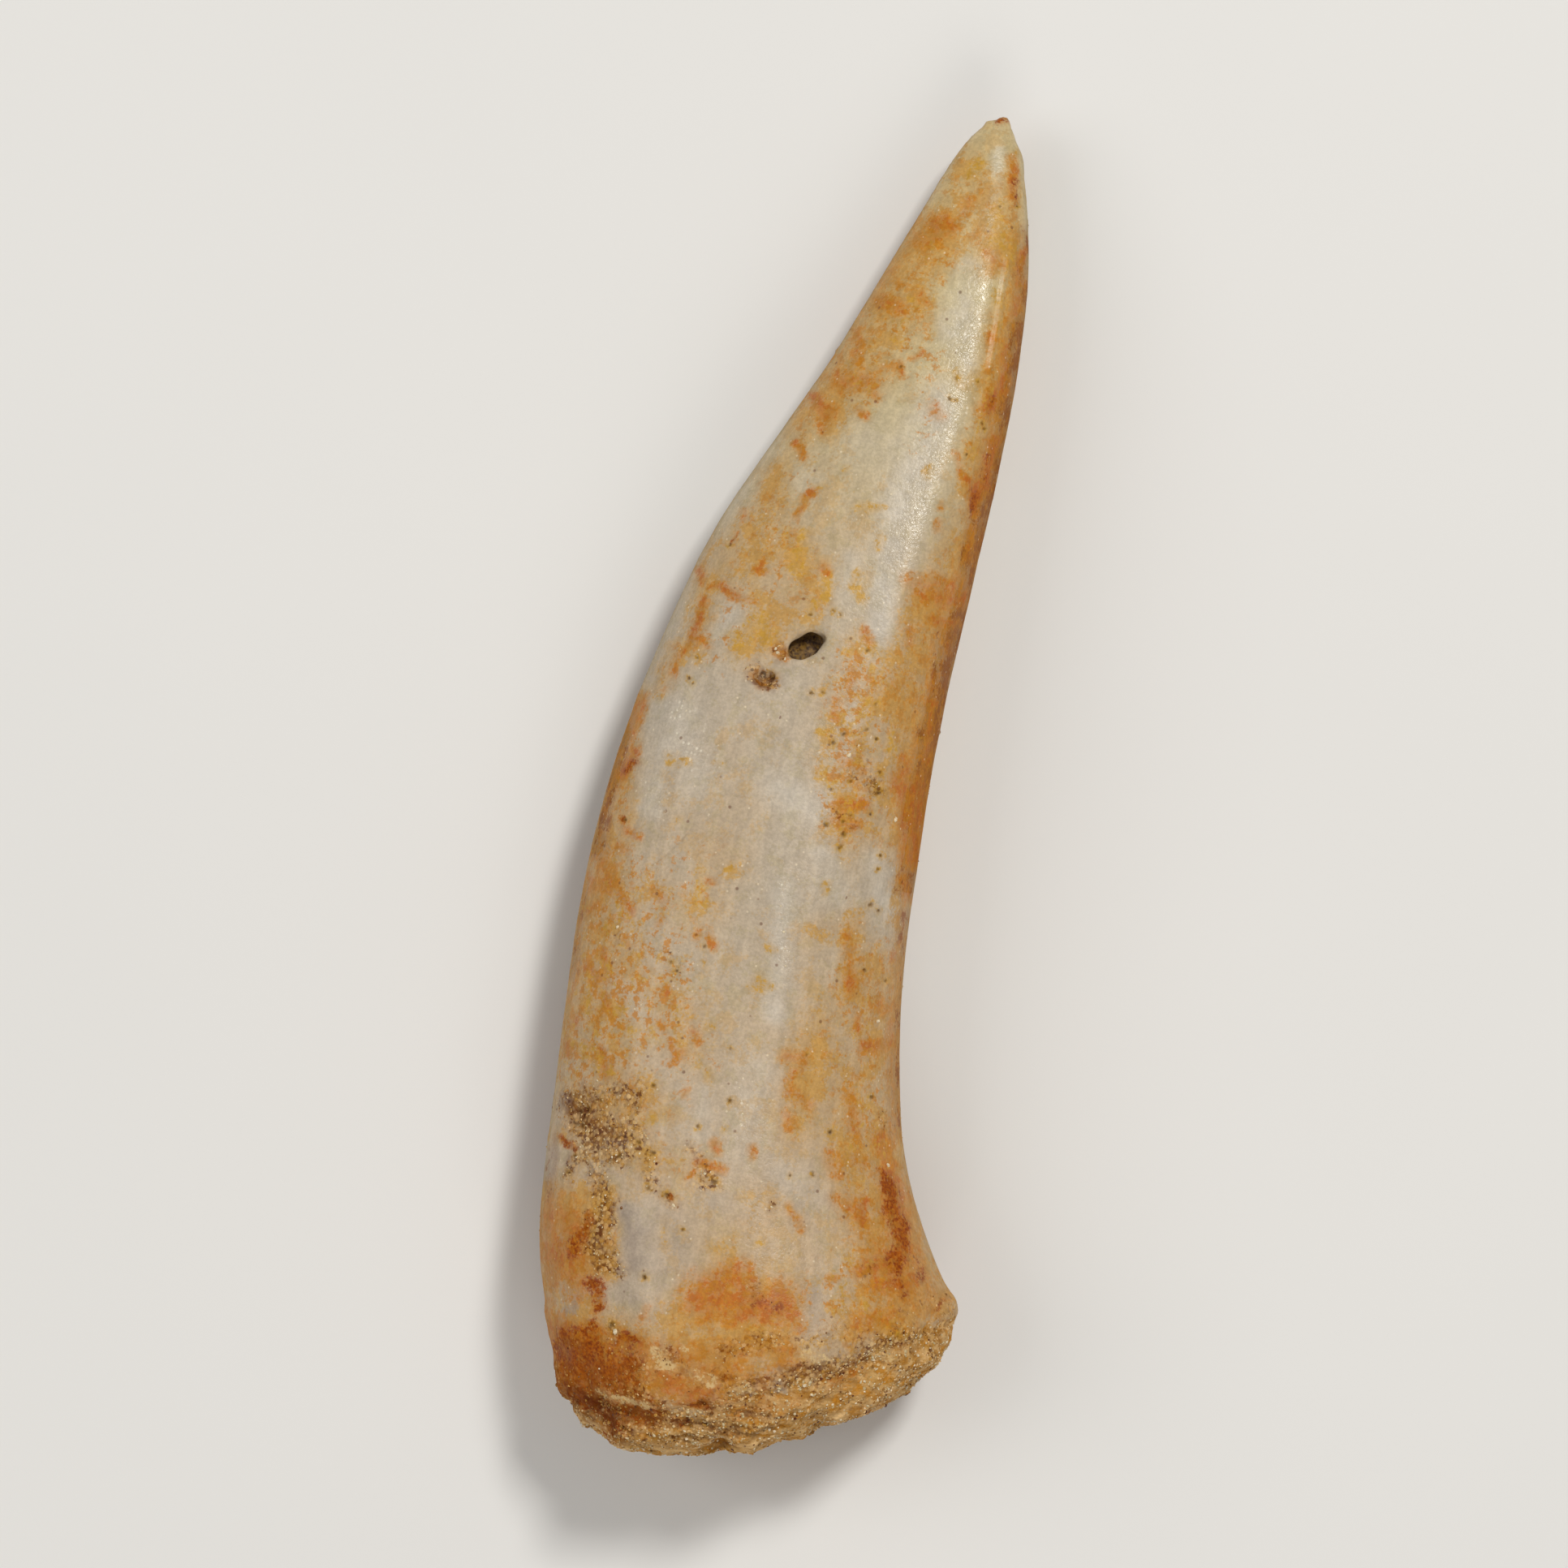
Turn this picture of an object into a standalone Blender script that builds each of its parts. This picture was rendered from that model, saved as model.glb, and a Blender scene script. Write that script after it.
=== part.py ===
"""Fossil fang of the fish Enchodus: a long, slightly S-curved tooth that lies on its flatter side.

Metres, +Z up. The tooth lies on z = 0 with its tip towards +Y. The origin is the middle of its outline,
on the surface that it lies on. The numbers below are millimetres on a fang FANG_LENGTH long.
"""

import math

import bmesh
import bpy
import numpy as np
from mathutils import Vector, noise
from mathutils.bvhtree import BVHTree

MM = 0.001
FANG_LENGTH = 38.0

# The tooth is a ladder of cross-sections from the tip down to the broken root. Each rung gives the
# left margin (x, y), the right margin (x, y), the place of the crest between them as a share of the
# width, the height of the crest over the margins, the depth of the belly under them, and the height
# of the margins over the table.
TIP = (0.85, 18.98, 1.75)
RUNGS = (
    ((0.46, 18.80), (1.14, 18.80), 0.60, 0.24, 0.24, 1.75),
    ((0.02, 18.20), (1.42, 18.30), 0.62, 0.52, 0.48, 1.78),
    ((-0.39, 17.30), (1.81, 17.40), 0.64, 0.82, 0.72, 1.80),
    ((-0.91, 15.90), (2.22, 15.90), 0.67, 1.22, 1.02, 1.84),
    ((-1.56, 14.00), (2.54, 13.90), 0.69, 1.62, 1.32, 1.90),
    ((-2.35, 11.80), (2.69, 11.50), 0.71, 2.02, 1.62, 1.98),
    ((-3.47, 9.20), (2.69, 8.80), 0.72, 2.42, 1.92, 2.10),
    ((-4.62, 6.40), (2.59, 6.10), 0.72, 2.80, 2.18, 2.22),
    ((-5.40, 3.40), (2.54, 3.30), 0.71, 3.08, 2.40, 2.34),
    ((-5.97, 0.40), (2.56, 0.60), 0.69, 3.30, 2.56, 2.45),
    ((-6.22, -2.60), (2.70, -2.00), 0.66, 3.46, 2.66, 2.55),
    ((-6.17, -5.60), (2.87, -4.50), 0.63, 3.58, 2.73, 2.62),
    ((-5.99, -8.60), (3.21, -6.90), 0.59, 3.68, 2.80, 2.69),
    ((-5.80, -11.30), (3.72, -9.10), 0.56, 3.78, 2.88, 2.77),
    ((-5.58, -13.50), (4.46, -10.90), 0.53, 3.88, 2.97, 2.87),
    ((-5.10, -15.30), (5.36, -12.40), 0.51, 3.96, 3.04, 2.96),
    ((-4.51, -16.80), (6.21, -13.70), 0.50, 3.94, 3.04, 3.02),
    ((-3.78, -18.25), (5.98, -14.95), 0.50, 3.62, 2.80, 3.08),
    ((-2.95, -18.82), (5.08, -16.38), 0.50, 2.95, 2.40, 3.15),
    ((-1.75, -19.04), (3.30, -17.42), 0.50, 1.70, 1.50, 3.20),
)
ROOT_END = (0.75, -18.55, 3.22)
ROOT_BOW = 0.40  # how far the last sections curve, between their margins, towards the root's end
ROOT_BOW_RUNGS = 5  # over which they take up that curve

RING_POINTS = 66  # round each cross-section
RINGS_PER_RUNG = 3
END_RINGS = 7  # between the last rung and the middle of the root's end
# How far each quarter of a section fills its corner: under 1 is fuller than an ellipse, over 1 leaner.
CREST_LEFT_FULLNESS = 0.80
CREST_RIGHT_FULLNESS = 1.14
BELLY_FULLNESS = 0.84
MARGIN_SHARPNESS = 1.06

# The thin second ridge beside the right margin of the blade.
EDGE_RIDGE_SHARE = 0.87  # of the width, from the left margin
EDGE_RIDGE_WIDTH = 0.045  # of the width
EDGE_RIDGE_HEIGHT = 0.09
EDGE_RIDGE_LOW, EDGE_RIDGE_HIGH = 7.0, 16.5  # its ends, as y

# The sandy furrow that runs up from the root on the left of the upper face.
FURROW = ((-5.10, -9.2), (-4.75, -10.8), (-4.10, -12.5), (-3.55, -14.2), (-2.90, -16.9))
FURROW_WIDTH = 0.75
FURROW_DEPTH = 0.22

# The enamel ends at this line across the tooth, and the broken root below it is lumpy.
ROOT_LINE = ((-5.2, -16.0), (-3.3, -17.1), (1.8, -16.2), (5.2, -14.2), (6.4, -13.3))
ROOT_FADE = 1.4  # over which the lumps fade out above that line
ROOT_LUMP = 0.20
ROOT_LUMP_SIZE = 1.1
ROOT_LUMP_FADE = 0.8  # how fast the finer lumps lose height
ROOT_LUMP_STEP = 2.1  # how much finer each layer of lumps is than the one before
ROOT_LUMP_LAYERS = 2
ROOT_CALM = 3.2  # round the middle of the root's end, where the lumps fade out
BODY_SWELL = 0.05  # long, low unevenness of the whole tooth
BODY_SWELL_SIZE = 5.0

# Pits in the upper face: centre (x, y), half length, half width, turn in degrees, depth.
PITS = (
    ((-1.53, 3.65), 0.54, 0.32, 33.0, 0.42),
    ((-2.55, 2.57), 0.32, 0.24, 20.0, 0.20),
)
PIT_REACH_OVER = 0.5  # how far a pit's cutter stands out of the surface
PIT_MERIDIANS = 16  # of the cutter
PIT_PARALLELS = 10

TOOTH_COLOUR = (0.47, 0.37, 0.25, 1.0)
TOOTH_ROUGHNESS = 0.32


def clear_scene():
    for item in list(bpy.data.objects):
        bpy.data.objects.remove(item)


def new_collection(name):
    collection = bpy.data.collections.new(name)
    bpy.context.scene.collection.children.link(collection)
    return collection


def new_object(name, mesh, collection):
    item = bpy.data.objects.new(name, mesh)
    collection.objects.link(item)
    return item


def tooth_material():
    material = bpy.data.materials.new("fossil_enamel")
    material.use_nodes = True
    shader = material.node_tree.nodes["Principled BSDF"]
    shader.inputs["Base Color"].default_value = TOOTH_COLOUR
    shader.inputs["Roughness"].default_value = TOOTH_ROUGHNESS
    shader.inputs["Metallic"].default_value = 0.0
    return material


def between_rungs(place):
    """A cross-section's numbers at a place on the ladder, on a smooth curve through its rungs."""
    table = np.array([[*left, *right, *rest] for left, right, *rest in RUNGS])
    last = len(table) - 1
    index = min(int(place), last - 1)
    t = place - index
    before, here, there, after = (table[min(max(i, 0), last)] for i in range(index - 1, index + 3))
    return 0.5 * (
        2.0 * here
        + (there - before) * t
        + (2.0 * before - 5.0 * here + 4.0 * there - after) * t**2
        + (3.0 * here - before - 3.0 * there + after) * t**3
    )


def edge_ridge(share, y):
    """Height of the thin ridge beside the blade's right margin."""
    along = (y - EDGE_RIDGE_LOW) / (EDGE_RIDGE_HIGH - EDGE_RIDGE_LOW)
    if not 0.0 < along < 1.0:
        return 0.0
    across = (share - EDGE_RIDGE_SHARE) / EDGE_RIDGE_WIDTH
    return EDGE_RIDGE_HEIGHT * math.sin(math.pi * along) * math.exp(-(across**2))


def ring(place):
    """One closed cross-section, as points round it that start at the right margin."""
    left_x, left_y, right_x, right_y, crest, height, belly, lift = between_rungs(place)
    bow_share = max(0.0, 1.0 + (place - len(RUNGS) + 1) / ROOT_BOW_RUNGS)
    points = []
    for step in range(RING_POINTS):
        turn = 2.0 * math.pi * step / RING_POINTS
        across, up = math.cos(turn), math.sin(turn)
        if up < 0.0:
            fullness = BELLY_FULLNESS
        elif across < 0.0:
            fullness = CREST_LEFT_FULLNESS
        else:
            fullness = CREST_RIGHT_FULLNESS
        reach = 1.0 - crest if across > 0.0 else crest
        share = crest + math.copysign(abs(across) ** fullness, across) * reach
        x = left_x + (right_x - left_x) * share
        y = left_y + (right_y - left_y) * share - ROOT_BOW * bow_share * 4.0 * share * (1.0 - share)
        rise = height if up > 0.0 else belly
        z = lift + math.copysign(abs(up) ** MARGIN_SHARPNESS, up) * rise
        if up > 0.0:
            z += edge_ridge(share, y)
        points.append((x, y, z))
    return points


def distance_to_path(x, y, path):
    """Shortest distance in plan from a point to a path of straight pieces."""
    point = Vector((x, y))
    nearest = math.inf
    for start, end in zip(path, path[1:]):
        start, end = Vector(start), Vector(end)
        run = end - start
        share = max(0.0, min(1.0, (point - start).dot(run) / run.length_squared))
        nearest = min(nearest, (start + run * share - point).length)
    return nearest


def broken_share(x, y):
    """0 on the smooth tooth and 1 on the broken root."""
    line_y = np.interp(x, *zip(*ROOT_LINE))
    share = max(0.0, min(1.0, (line_y + ROOT_FADE - y) / ROOT_FADE))
    return share * share * (3.0 - 2.0 * share)


def calm_share(point):
    """1 at the middle of the root's end, and 0 from ROOT_CALM away from it."""
    share = min(1.0, (point - Vector(ROOT_END)).length / ROOT_CALM)
    return (1.0 - share) ** 2 * (1.0 + 2.0 * share)


def relief(point, normal):
    """How far the surface stands out, or in, from the plain cross-sections."""
    swell = BODY_SWELL * noise.noise(point / BODY_SWELL_SIZE)
    lumps = noise.fractal(point / ROOT_LUMP_SIZE, ROOT_LUMP_FADE, ROOT_LUMP_STEP, ROOT_LUMP_LAYERS)
    lump_share = broken_share(point.x, point.y) * (1.0 - calm_share(point))
    out = swell + ROOT_LUMP * lump_share * lumps
    if normal.z > 0.0:
        across = distance_to_path(point.x, point.y, FURROW) / FURROW_WIDTH
        out -= FURROW_DEPTH * math.exp(-(across**2)) * normal.z
    return out


def all_rings():
    """Every ring of points, from the tip's to the last one round the middle of the root's end."""
    count = (len(RUNGS) - 1) * RINGS_PER_RUNG + 1
    rings = [ring(i / RINGS_PER_RUNG) for i in range(count)]
    rim, end = np.array(rings[-1]), np.array(ROOT_END)
    for number in range(1, END_RINGS + 1):
        rings.append(rim + (end - rim) * number / (END_RINGS + 1))
    return rings


def loft():
    """The whole tooth: rings bridged from the tip to the end of the root."""
    mesh = bmesh.new()
    tip, root_end = mesh.verts.new(TIP), mesh.verts.new(ROOT_END)
    rings = [[mesh.verts.new(point) for point in points] for points in all_rings()]
    for upper, lower in zip(rings, rings[1:]):
        for i in range(RING_POINTS):
            j = (i + 1) % RING_POINTS
            mesh.faces.new((upper[i], upper[j], lower[j], lower[i]))
    for i in range(RING_POINTS):
        j = (i + 1) % RING_POINTS
        mesh.faces.new((tip, rings[0][j], rings[0][i]))
        mesh.faces.new((root_end, rings[-1][i], rings[-1][j]))
    bmesh.ops.recalc_face_normals(mesh, faces=mesh.faces)
    mesh.normal_update()
    return mesh


def carve(mesh):
    """Adds the relief, then lays the belly flat on the table."""
    moves = [(vert, vert.normal * relief(vert.co.copy(), vert.normal)) for vert in mesh.verts]
    for vert, move in moves:
        vert.co += move
        vert.co.z = max(vert.co.z, 0.0)


def fit_to_length(mesh):
    """Scales to FANG_LENGTH in metres and puts the origin under the middle of the outline."""
    points = np.array([vert.co for vert in mesh.verts])
    low, high = points.min(axis=0), points.max(axis=0)
    scale = FANG_LENGTH / (high[1] - low[1]) * MM
    middle = Vector(((low[0] + high[0]) / 2.0, (low[1] + high[1]) / 2.0, 0.0))
    for vert in mesh.verts:
        vert.co = (vert.co - middle) * scale
    return middle, scale


def pit_cutter(name, collection, centre, half_length, half_width, turn, depth):
    """An egg-shaped cutter: its lower half makes the pit, its upper half stands clear of the tooth."""
    shape = bmesh.new()
    bmesh.ops.create_uvsphere(shape, u_segments=PIT_MERIDIANS, v_segments=PIT_PARALLELS, radius=1.0)
    for vert in shape.verts:
        down = depth if vert.co.z < 0.0 else PIT_REACH_OVER
        vert.co = (vert.co.x * half_length * MM, vert.co.y * half_width * MM, vert.co.z * down * MM)
    data = bpy.data.meshes.new(name)
    shape.to_mesh(data)
    shape.free()
    cutter = new_object(name, data, collection)
    cutter.location = centre
    cutter.rotation_euler.z = math.radians(turn)
    cutter.hide_render = True
    cutter.display_type = "WIRE"
    return cutter


def main():
    clear_scene()
    parts, cutters = new_collection("enchodus_fang"), new_collection("cutters")
    mesh = loft()
    carve(mesh)
    mesh.normal_update()
    middle, scale = fit_to_length(mesh)
    data = bpy.data.meshes.new("fang")
    mesh.to_mesh(data)
    fang = new_object("fang", data, parts)
    fang.data.materials.append(tooth_material())
    fang.data.shade_smooth()
    surface = BVHTree.FromBMesh(mesh)
    for number, ((x, y), half_length, half_width, turn, depth) in enumerate(PITS, start=1):
        place = (Vector((x, y, 0.0)) - middle) * scale
        place.z = surface.ray_cast((place.x, place.y, FANG_LENGTH * MM), (0.0, 0.0, -1.0))[0].z
        cutter = pit_cutter(f"pit_cutter_{number}", cutters, place, half_length, half_width, turn, depth)
        cut = fang.modifiers.new(f"pit_{number}", "BOOLEAN")
        cut.operation = "DIFFERENCE"
        cut.object = cutter
    mesh.free()


main()
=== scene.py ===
"""Looks of a fossil Enchodus fang: stained enamel, pores, a sandy broken root and its stuck grains.

Lengths are millimetres unless a name says otherwise. Stains, pores and patches of sand are placed by the
pixels of the 1932 x 1932 photograph, and then lie on the fang's own surface.
"""

import math

import bmesh
import bpy
import numpy as np
from mathutils import Matrix, Vector, noise


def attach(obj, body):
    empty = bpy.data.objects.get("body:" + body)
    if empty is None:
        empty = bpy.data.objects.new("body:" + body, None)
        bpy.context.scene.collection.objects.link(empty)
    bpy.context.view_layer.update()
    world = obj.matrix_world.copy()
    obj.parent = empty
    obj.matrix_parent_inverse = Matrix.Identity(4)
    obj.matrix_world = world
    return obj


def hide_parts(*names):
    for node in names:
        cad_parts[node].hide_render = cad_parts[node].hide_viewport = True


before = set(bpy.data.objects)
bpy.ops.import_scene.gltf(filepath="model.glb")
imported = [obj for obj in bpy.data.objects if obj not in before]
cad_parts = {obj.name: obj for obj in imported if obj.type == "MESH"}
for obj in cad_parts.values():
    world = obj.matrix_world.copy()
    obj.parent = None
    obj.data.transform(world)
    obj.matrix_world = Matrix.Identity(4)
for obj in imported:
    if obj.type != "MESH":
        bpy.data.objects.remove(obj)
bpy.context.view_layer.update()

MM = 0.001

# The photograph: the fang seen from straight above, leaning clockwise.
PHOTO_PIXELS = 1932
PIXELS_PER_MM = 44.891
PHOTO_TURN = math.radians(11.5)
PHOTO_MIDDLE = np.array((-1.41, -0.16))  # the point of the fang's frame in the middle of the photograph
MARGIN_HEIGHT = 3.0
CAMERA_RISE = 250.0  # of the camera over the margins
SENSOR = 36.0
PHOTO_RIGHT = np.array((math.cos(PHOTO_TURN), math.sin(PHOTO_TURN)))
PHOTO_UP = np.array((-math.sin(PHOTO_TURN), math.cos(PHOTO_TURN)))

# The fine surface.
VOXEL = 0.112
SMOOTHING_STEPS = 45
SMOOTHING_IN, SMOOTHING_OUT = 0.52, -0.53  # each step shrinks a little, then swells back

# The enamel ends at this line across the fang, as (x, y).
ROOT_LINE = (
    (-7.0, -16.6), (-4.4, -17.25), (-3.9, -17.65), (-2.5, -17.66), (-0.7, -17.5), (1.2, -16.6),
    (2.6, -15.9), (4.0, -15.0), (5.2, -14.2), (5.9, -13.6), (6.8, -13.1),
)

# Pits: centre, half length and half width in photograph pixels, turn in degrees, depth in millimetres
# and darkness.
PITS = (
    (993, 796, 25, 13, 25, 0.36, 0.96), (941, 836, 14, 10, 10, 0.10, 0.18),
    (715, 1376, 22, 12, 60, 0.10, 0.10), (862, 1733, 8, 5, 10, 0.08, 0.35),
)
PIT_RIM_SWAY = 2.6  # pixels

# Pores: centre and radius in photograph pixels.
PORES = (
    (1027, 753, 3.0), (1035, 757, 2.5), (998, 757, 3.0), (900, 671, 3.5), (1080, 867, 3.0),
    (998, 853, 3.0), (1013, 853, 3.0), (1040, 904, 4.0), (1027, 915, 4.0), (1067, 899, 4.0),
    (1085, 951, 4.0), (1024, 973, 3.5), (1048, 963, 3.0), (1082, 977, 4.0), (1079, 967, 3.5),
    (1018, 1016, 5.0), (1038, 1012, 3.0), (1040, 1028, 5.5), (1036, 1044, 4.0), (1080, 911, 3.0),
    (1072, 1003, 3.0), (1085, 1054, 3.0), (1082, 1072, 3.0), (868, 1166, 3.5), (1073, 1115, 4.5),
    (1083, 1122, 3.0), (1065, 1195, 3.5), (1091, 1208, 3.0), (826, 1186, 3.0), (834, 1196, 3.5),
    (805, 1338, 4.0), (900, 1357, 4.0), (860, 1388, 3.5), (786, 1407, 4.0), (761, 1425, 5.0),
    (805, 1420, 4.0), (799, 1463, 4.0), (822, 1472, 5.5), (841, 1515, 3.5), (794, 1573, 4.5),
    (880, 1457, 5.0), (761, 1401, 3.5), (974, 1449, 2.5), (1001, 1448, 2.5), (1023, 1394, 4.0),
    (1073, 1352, 3.5), (770, 1010, 3.5), (708, 1424, 3.0), (700, 1445, 3.0), (1170, 491, 3.0),
    (1178, 493, 2.5), (1178, 466, 2.5), (1206, 470, 2.0), (1211, 521, 3.5), (1214, 528, 2.5),
    (1232, 254, 2.2), (1254, 254, 2.2), (1192, 560, 2.2), (755, 1632, 5.0), (848, 835, 3.0),
    (853, 842, 2.5), (951, 834, 5.0), (948, 843, 3.5), (1110, 452, 3.0), (858, 810, 3.0),
    (1069, 801, 3.0), (995, 1300, 2.5), (900, 1292, 3.0),
)
PORE_DEPTH = 0.022

# A thin second ridge beside the crest, in photograph pixels.
SIDE_RIDGE = ((1241, 322), (1236, 350), (1229, 400), (1219, 455))
SIDE_RIDGE_HALF_WIDTH = 4.0  # pixels
SIDE_RIDGE_HEIGHT = 0.05

# Where the outline stands out of the smoothed solid, or in from it: photograph pixels, radius in pixels
# and height in millimetres. The first three square off the blunt tip, the others shape the broken end.
OUTLINE_PLACES = (
    (1219, 150, 9, 0.05), (1239, 148, 9, 0.15), (1259, 196, 16, 0.07), (889, 1788, 13, -0.26),
    (1010, 1762, 16, -0.22), (926, 1788, 9, 0.14), (762, 1776, 24, 0.24), (690, 1706, 28, 0.12),
    (1150, 1682, 14, 0.12), (812, 1790, 18, 0.08), (668, 1620, 12, 0.06),
)

# A faint crack in the enamel, as photograph pixels.
CRACK = ((803, 1066), (815, 1058), (826, 1049), (838, 1037), (851, 1022))
CRACK_HALF_WIDTH = 1.3  # pixels
CRACK_DEPTH = 0.010

# Where the faces are made smaller: within this many pixels of the crack, the side ridge and a pore's rim,
# and within this many times the size of a pit.
CRACK_REFINED, SIDE_RIDGE_REFINED, PORE_REFINED = 5.0, 9.0, 4.0
PIT_REFINED = 1.5

# Stains as strokes: start (x, y), end (x, y) and half width in photograph pixels, and strength in per cent.
WASH = (
    (1190, 205, 1150, 290, 26, 55), (1140, 290, 1085, 370, 30, 60), (1215, 230, 1212, 330, 16, 80),
    (780, 860, 758, 960, 15, 80), (756, 965, 738, 1040, 14, 65), (730, 1060, 716, 1160, 14, 50),
    (712, 1170, 700, 1290, 12, 60), (695, 1300, 684, 1400, 10, 40), (680, 1480, 684, 1570, 18, 80),
    (700, 1480, 715, 1560, 26, 85), (1150, 880, 1140, 1000, 14, 70), (790, 1665, 880, 1680, 34, 70),
    (940, 1650, 1030, 1665, 22, 45), (1120, 1500, 1150, 1600, 20, 70), (690, 1640, 760, 1680, 40, 85),
    (1100, 330, 1150, 300, 32, 80), (1060, 400, 1120, 388, 30, 75), (1020, 450, 1080, 452, 28, 80),
    (990, 520, 1030, 500, 24, 75), (958, 580, 948, 605, 14, 60), (925, 650, 950, 620, 20, 55),
    (1246, 230, 1250, 400, 14, 85), (1238, 400, 1214, 560, 22, 95), (1206, 560, 1192, 680, 16, 85),
    (1186, 690, 1150, 760, 28, 75), (1148, 760, 1132, 880, 32, 85), (1128, 880, 1120, 1040, 26, 95),
    (1120, 1040, 1112, 1110, 10, 80), (1108, 1120, 1102, 1400, 11, 80), (1075, 1190, 1080, 1300, 26, 75),
    (1050, 1130, 1045, 1230, 13, 70), (1000, 1280, 980, 1390, 22, 65), (1050, 1340, 1060, 1500, 30, 70),
    (1090, 1400, 1110, 1540, 18, 95), (1090, 1560, 1130, 1600, 38, 95), (1060, 1625, 1120, 1640, 34, 80),
    (900, 1600, 950, 1620, 42, 75), (850, 1625, 900, 1660, 34, 75), (965, 1665, 990, 1690, 24, 60),
    (700, 1660, 780, 1690, 44, 95), (820, 1700, 900, 1690, 34, 75), (690, 1500, 700, 1560, 24, 70),
    (742, 1480, 746, 1560, 18, 75), (735, 1100, 762, 1190, 38, 60), (730, 1230, 760, 1300, 34, 50),
    (800, 1090, 852, 1120, 34, 40), (820, 1230, 850, 1290, 28, 40), (776, 870, 766, 960, 17, 60),
    (768, 1000, 750, 1080, 20, 65), (905, 690, 950, 680, 38, 50), (870, 720, 858, 800, 16, 70),
    (930, 785, 960, 762, 34, 60), (985, 680, 1002, 740, 20, 60), (1050, 870, 1050, 1020, 40, 55),
    (1060, 800, 1080, 860, 22, 50), (1112, 820, 1100, 860, 18, 65), (880, 1052, 902, 1062, 26, 35),
    (740, 1370, 790, 1356, 28, 65), (800, 1430, 850, 1442, 24, 40), (950, 1500, 980, 1540, 24, 20),
    (930, 1470, 900, 1530, 30, 30), (1225, 300, 1232, 330, 10, 50), (1240, 600, 1190, 600, 12, 50),
    (838, 800, 812, 850, 12, 60), (720, 1300, 700, 1400, 12, 30), (1000, 1150, 1030, 1140, 18, 35),
    (1020, 1230, 1015, 1300, 20, 35), (1160, 1600, 1165, 1640, 14, 70),
)
OCHRE = (
    (1197, 214, 1206, 204, 9, 70), (1250, 188, 1250, 189, 4, 100), (1228, 255, 1226, 300, 9, 80),
    (1245, 305, 1243, 322, 8, 70), (1226, 364, 1232, 374, 8, 75), (1120, 369, 1121, 371, 4, 70),
    (1178, 458, 1180, 468, 4, 70), (1142, 577, 1144, 585, 5, 90), (1058, 625, 1068, 626, 7, 80),
    (1075, 628, 1088, 624, 5, 75), (1040, 578, 1045, 574, 5, 45), (1008, 602, 1016, 598, 5, 50),
    (985, 680, 980, 700, 9, 55), (975, 702, 983, 708, 6, 80), (966, 652, 968, 656, 4, 60),
    (988, 664, 994, 658, 5, 70), (1018, 705, 1012, 738, 6, 95), (1000, 742, 995, 760, 5, 80),
    (1060, 706, 1054, 724, 6, 60), (1058, 728, 1066, 737, 6, 95), (1085, 664, 1084, 676, 6, 55),
    (925, 772, 945, 786, 15, 65), (905, 786, 915, 800, 9, 55), (1075, 822, 1078, 838, 7, 65),
    (1068, 790, 1080, 800, 8, 70), (1006, 903, 1020, 902, 7, 75), (1045, 905, 1056, 908, 7, 65),
    (1012, 952, 1020, 966, 8, 85), (827, 935, 836, 939, 8, 60), (848, 938, 850, 940, 6, 60),
    (834, 1010, 838, 1008, 4, 50), (862, 1070, 866, 1090, 8, 55), (897, 1070, 902, 1068, 5, 90),
    (860, 1100, 866, 1112, 9, 55), (936, 1210, 940, 1212, 9, 80), (950, 1213, 953, 1214, 5, 60),
    (924, 1216, 927, 1216, 5, 50), (945, 1168, 953, 1172, 6, 65), (872, 1263, 877, 1264, 6, 65),
    (872, 1318, 876, 1330, 5, 65), (1019, 1090, 1018, 1106, 4, 65), (768, 1262, 782, 1268, 9, 55),
    (800, 1378, 791, 1386, 6, 65), (892, 1388, 890, 1392, 4, 50), (934, 1536, 941, 1530, 6, 50),
    (928, 1638, 941, 1642, 6, 75), (1100, 905, 1098, 925, 7, 50), (935, 768, 940, 762, 6, 60),
    (880, 940, 890, 941, 4, 35), (868, 1186, 874, 1192, 5, 40), (815, 1500, 820, 1530, 6, 30),
    (1095, 1630, 1120, 1660, 12, 40),
)
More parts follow.
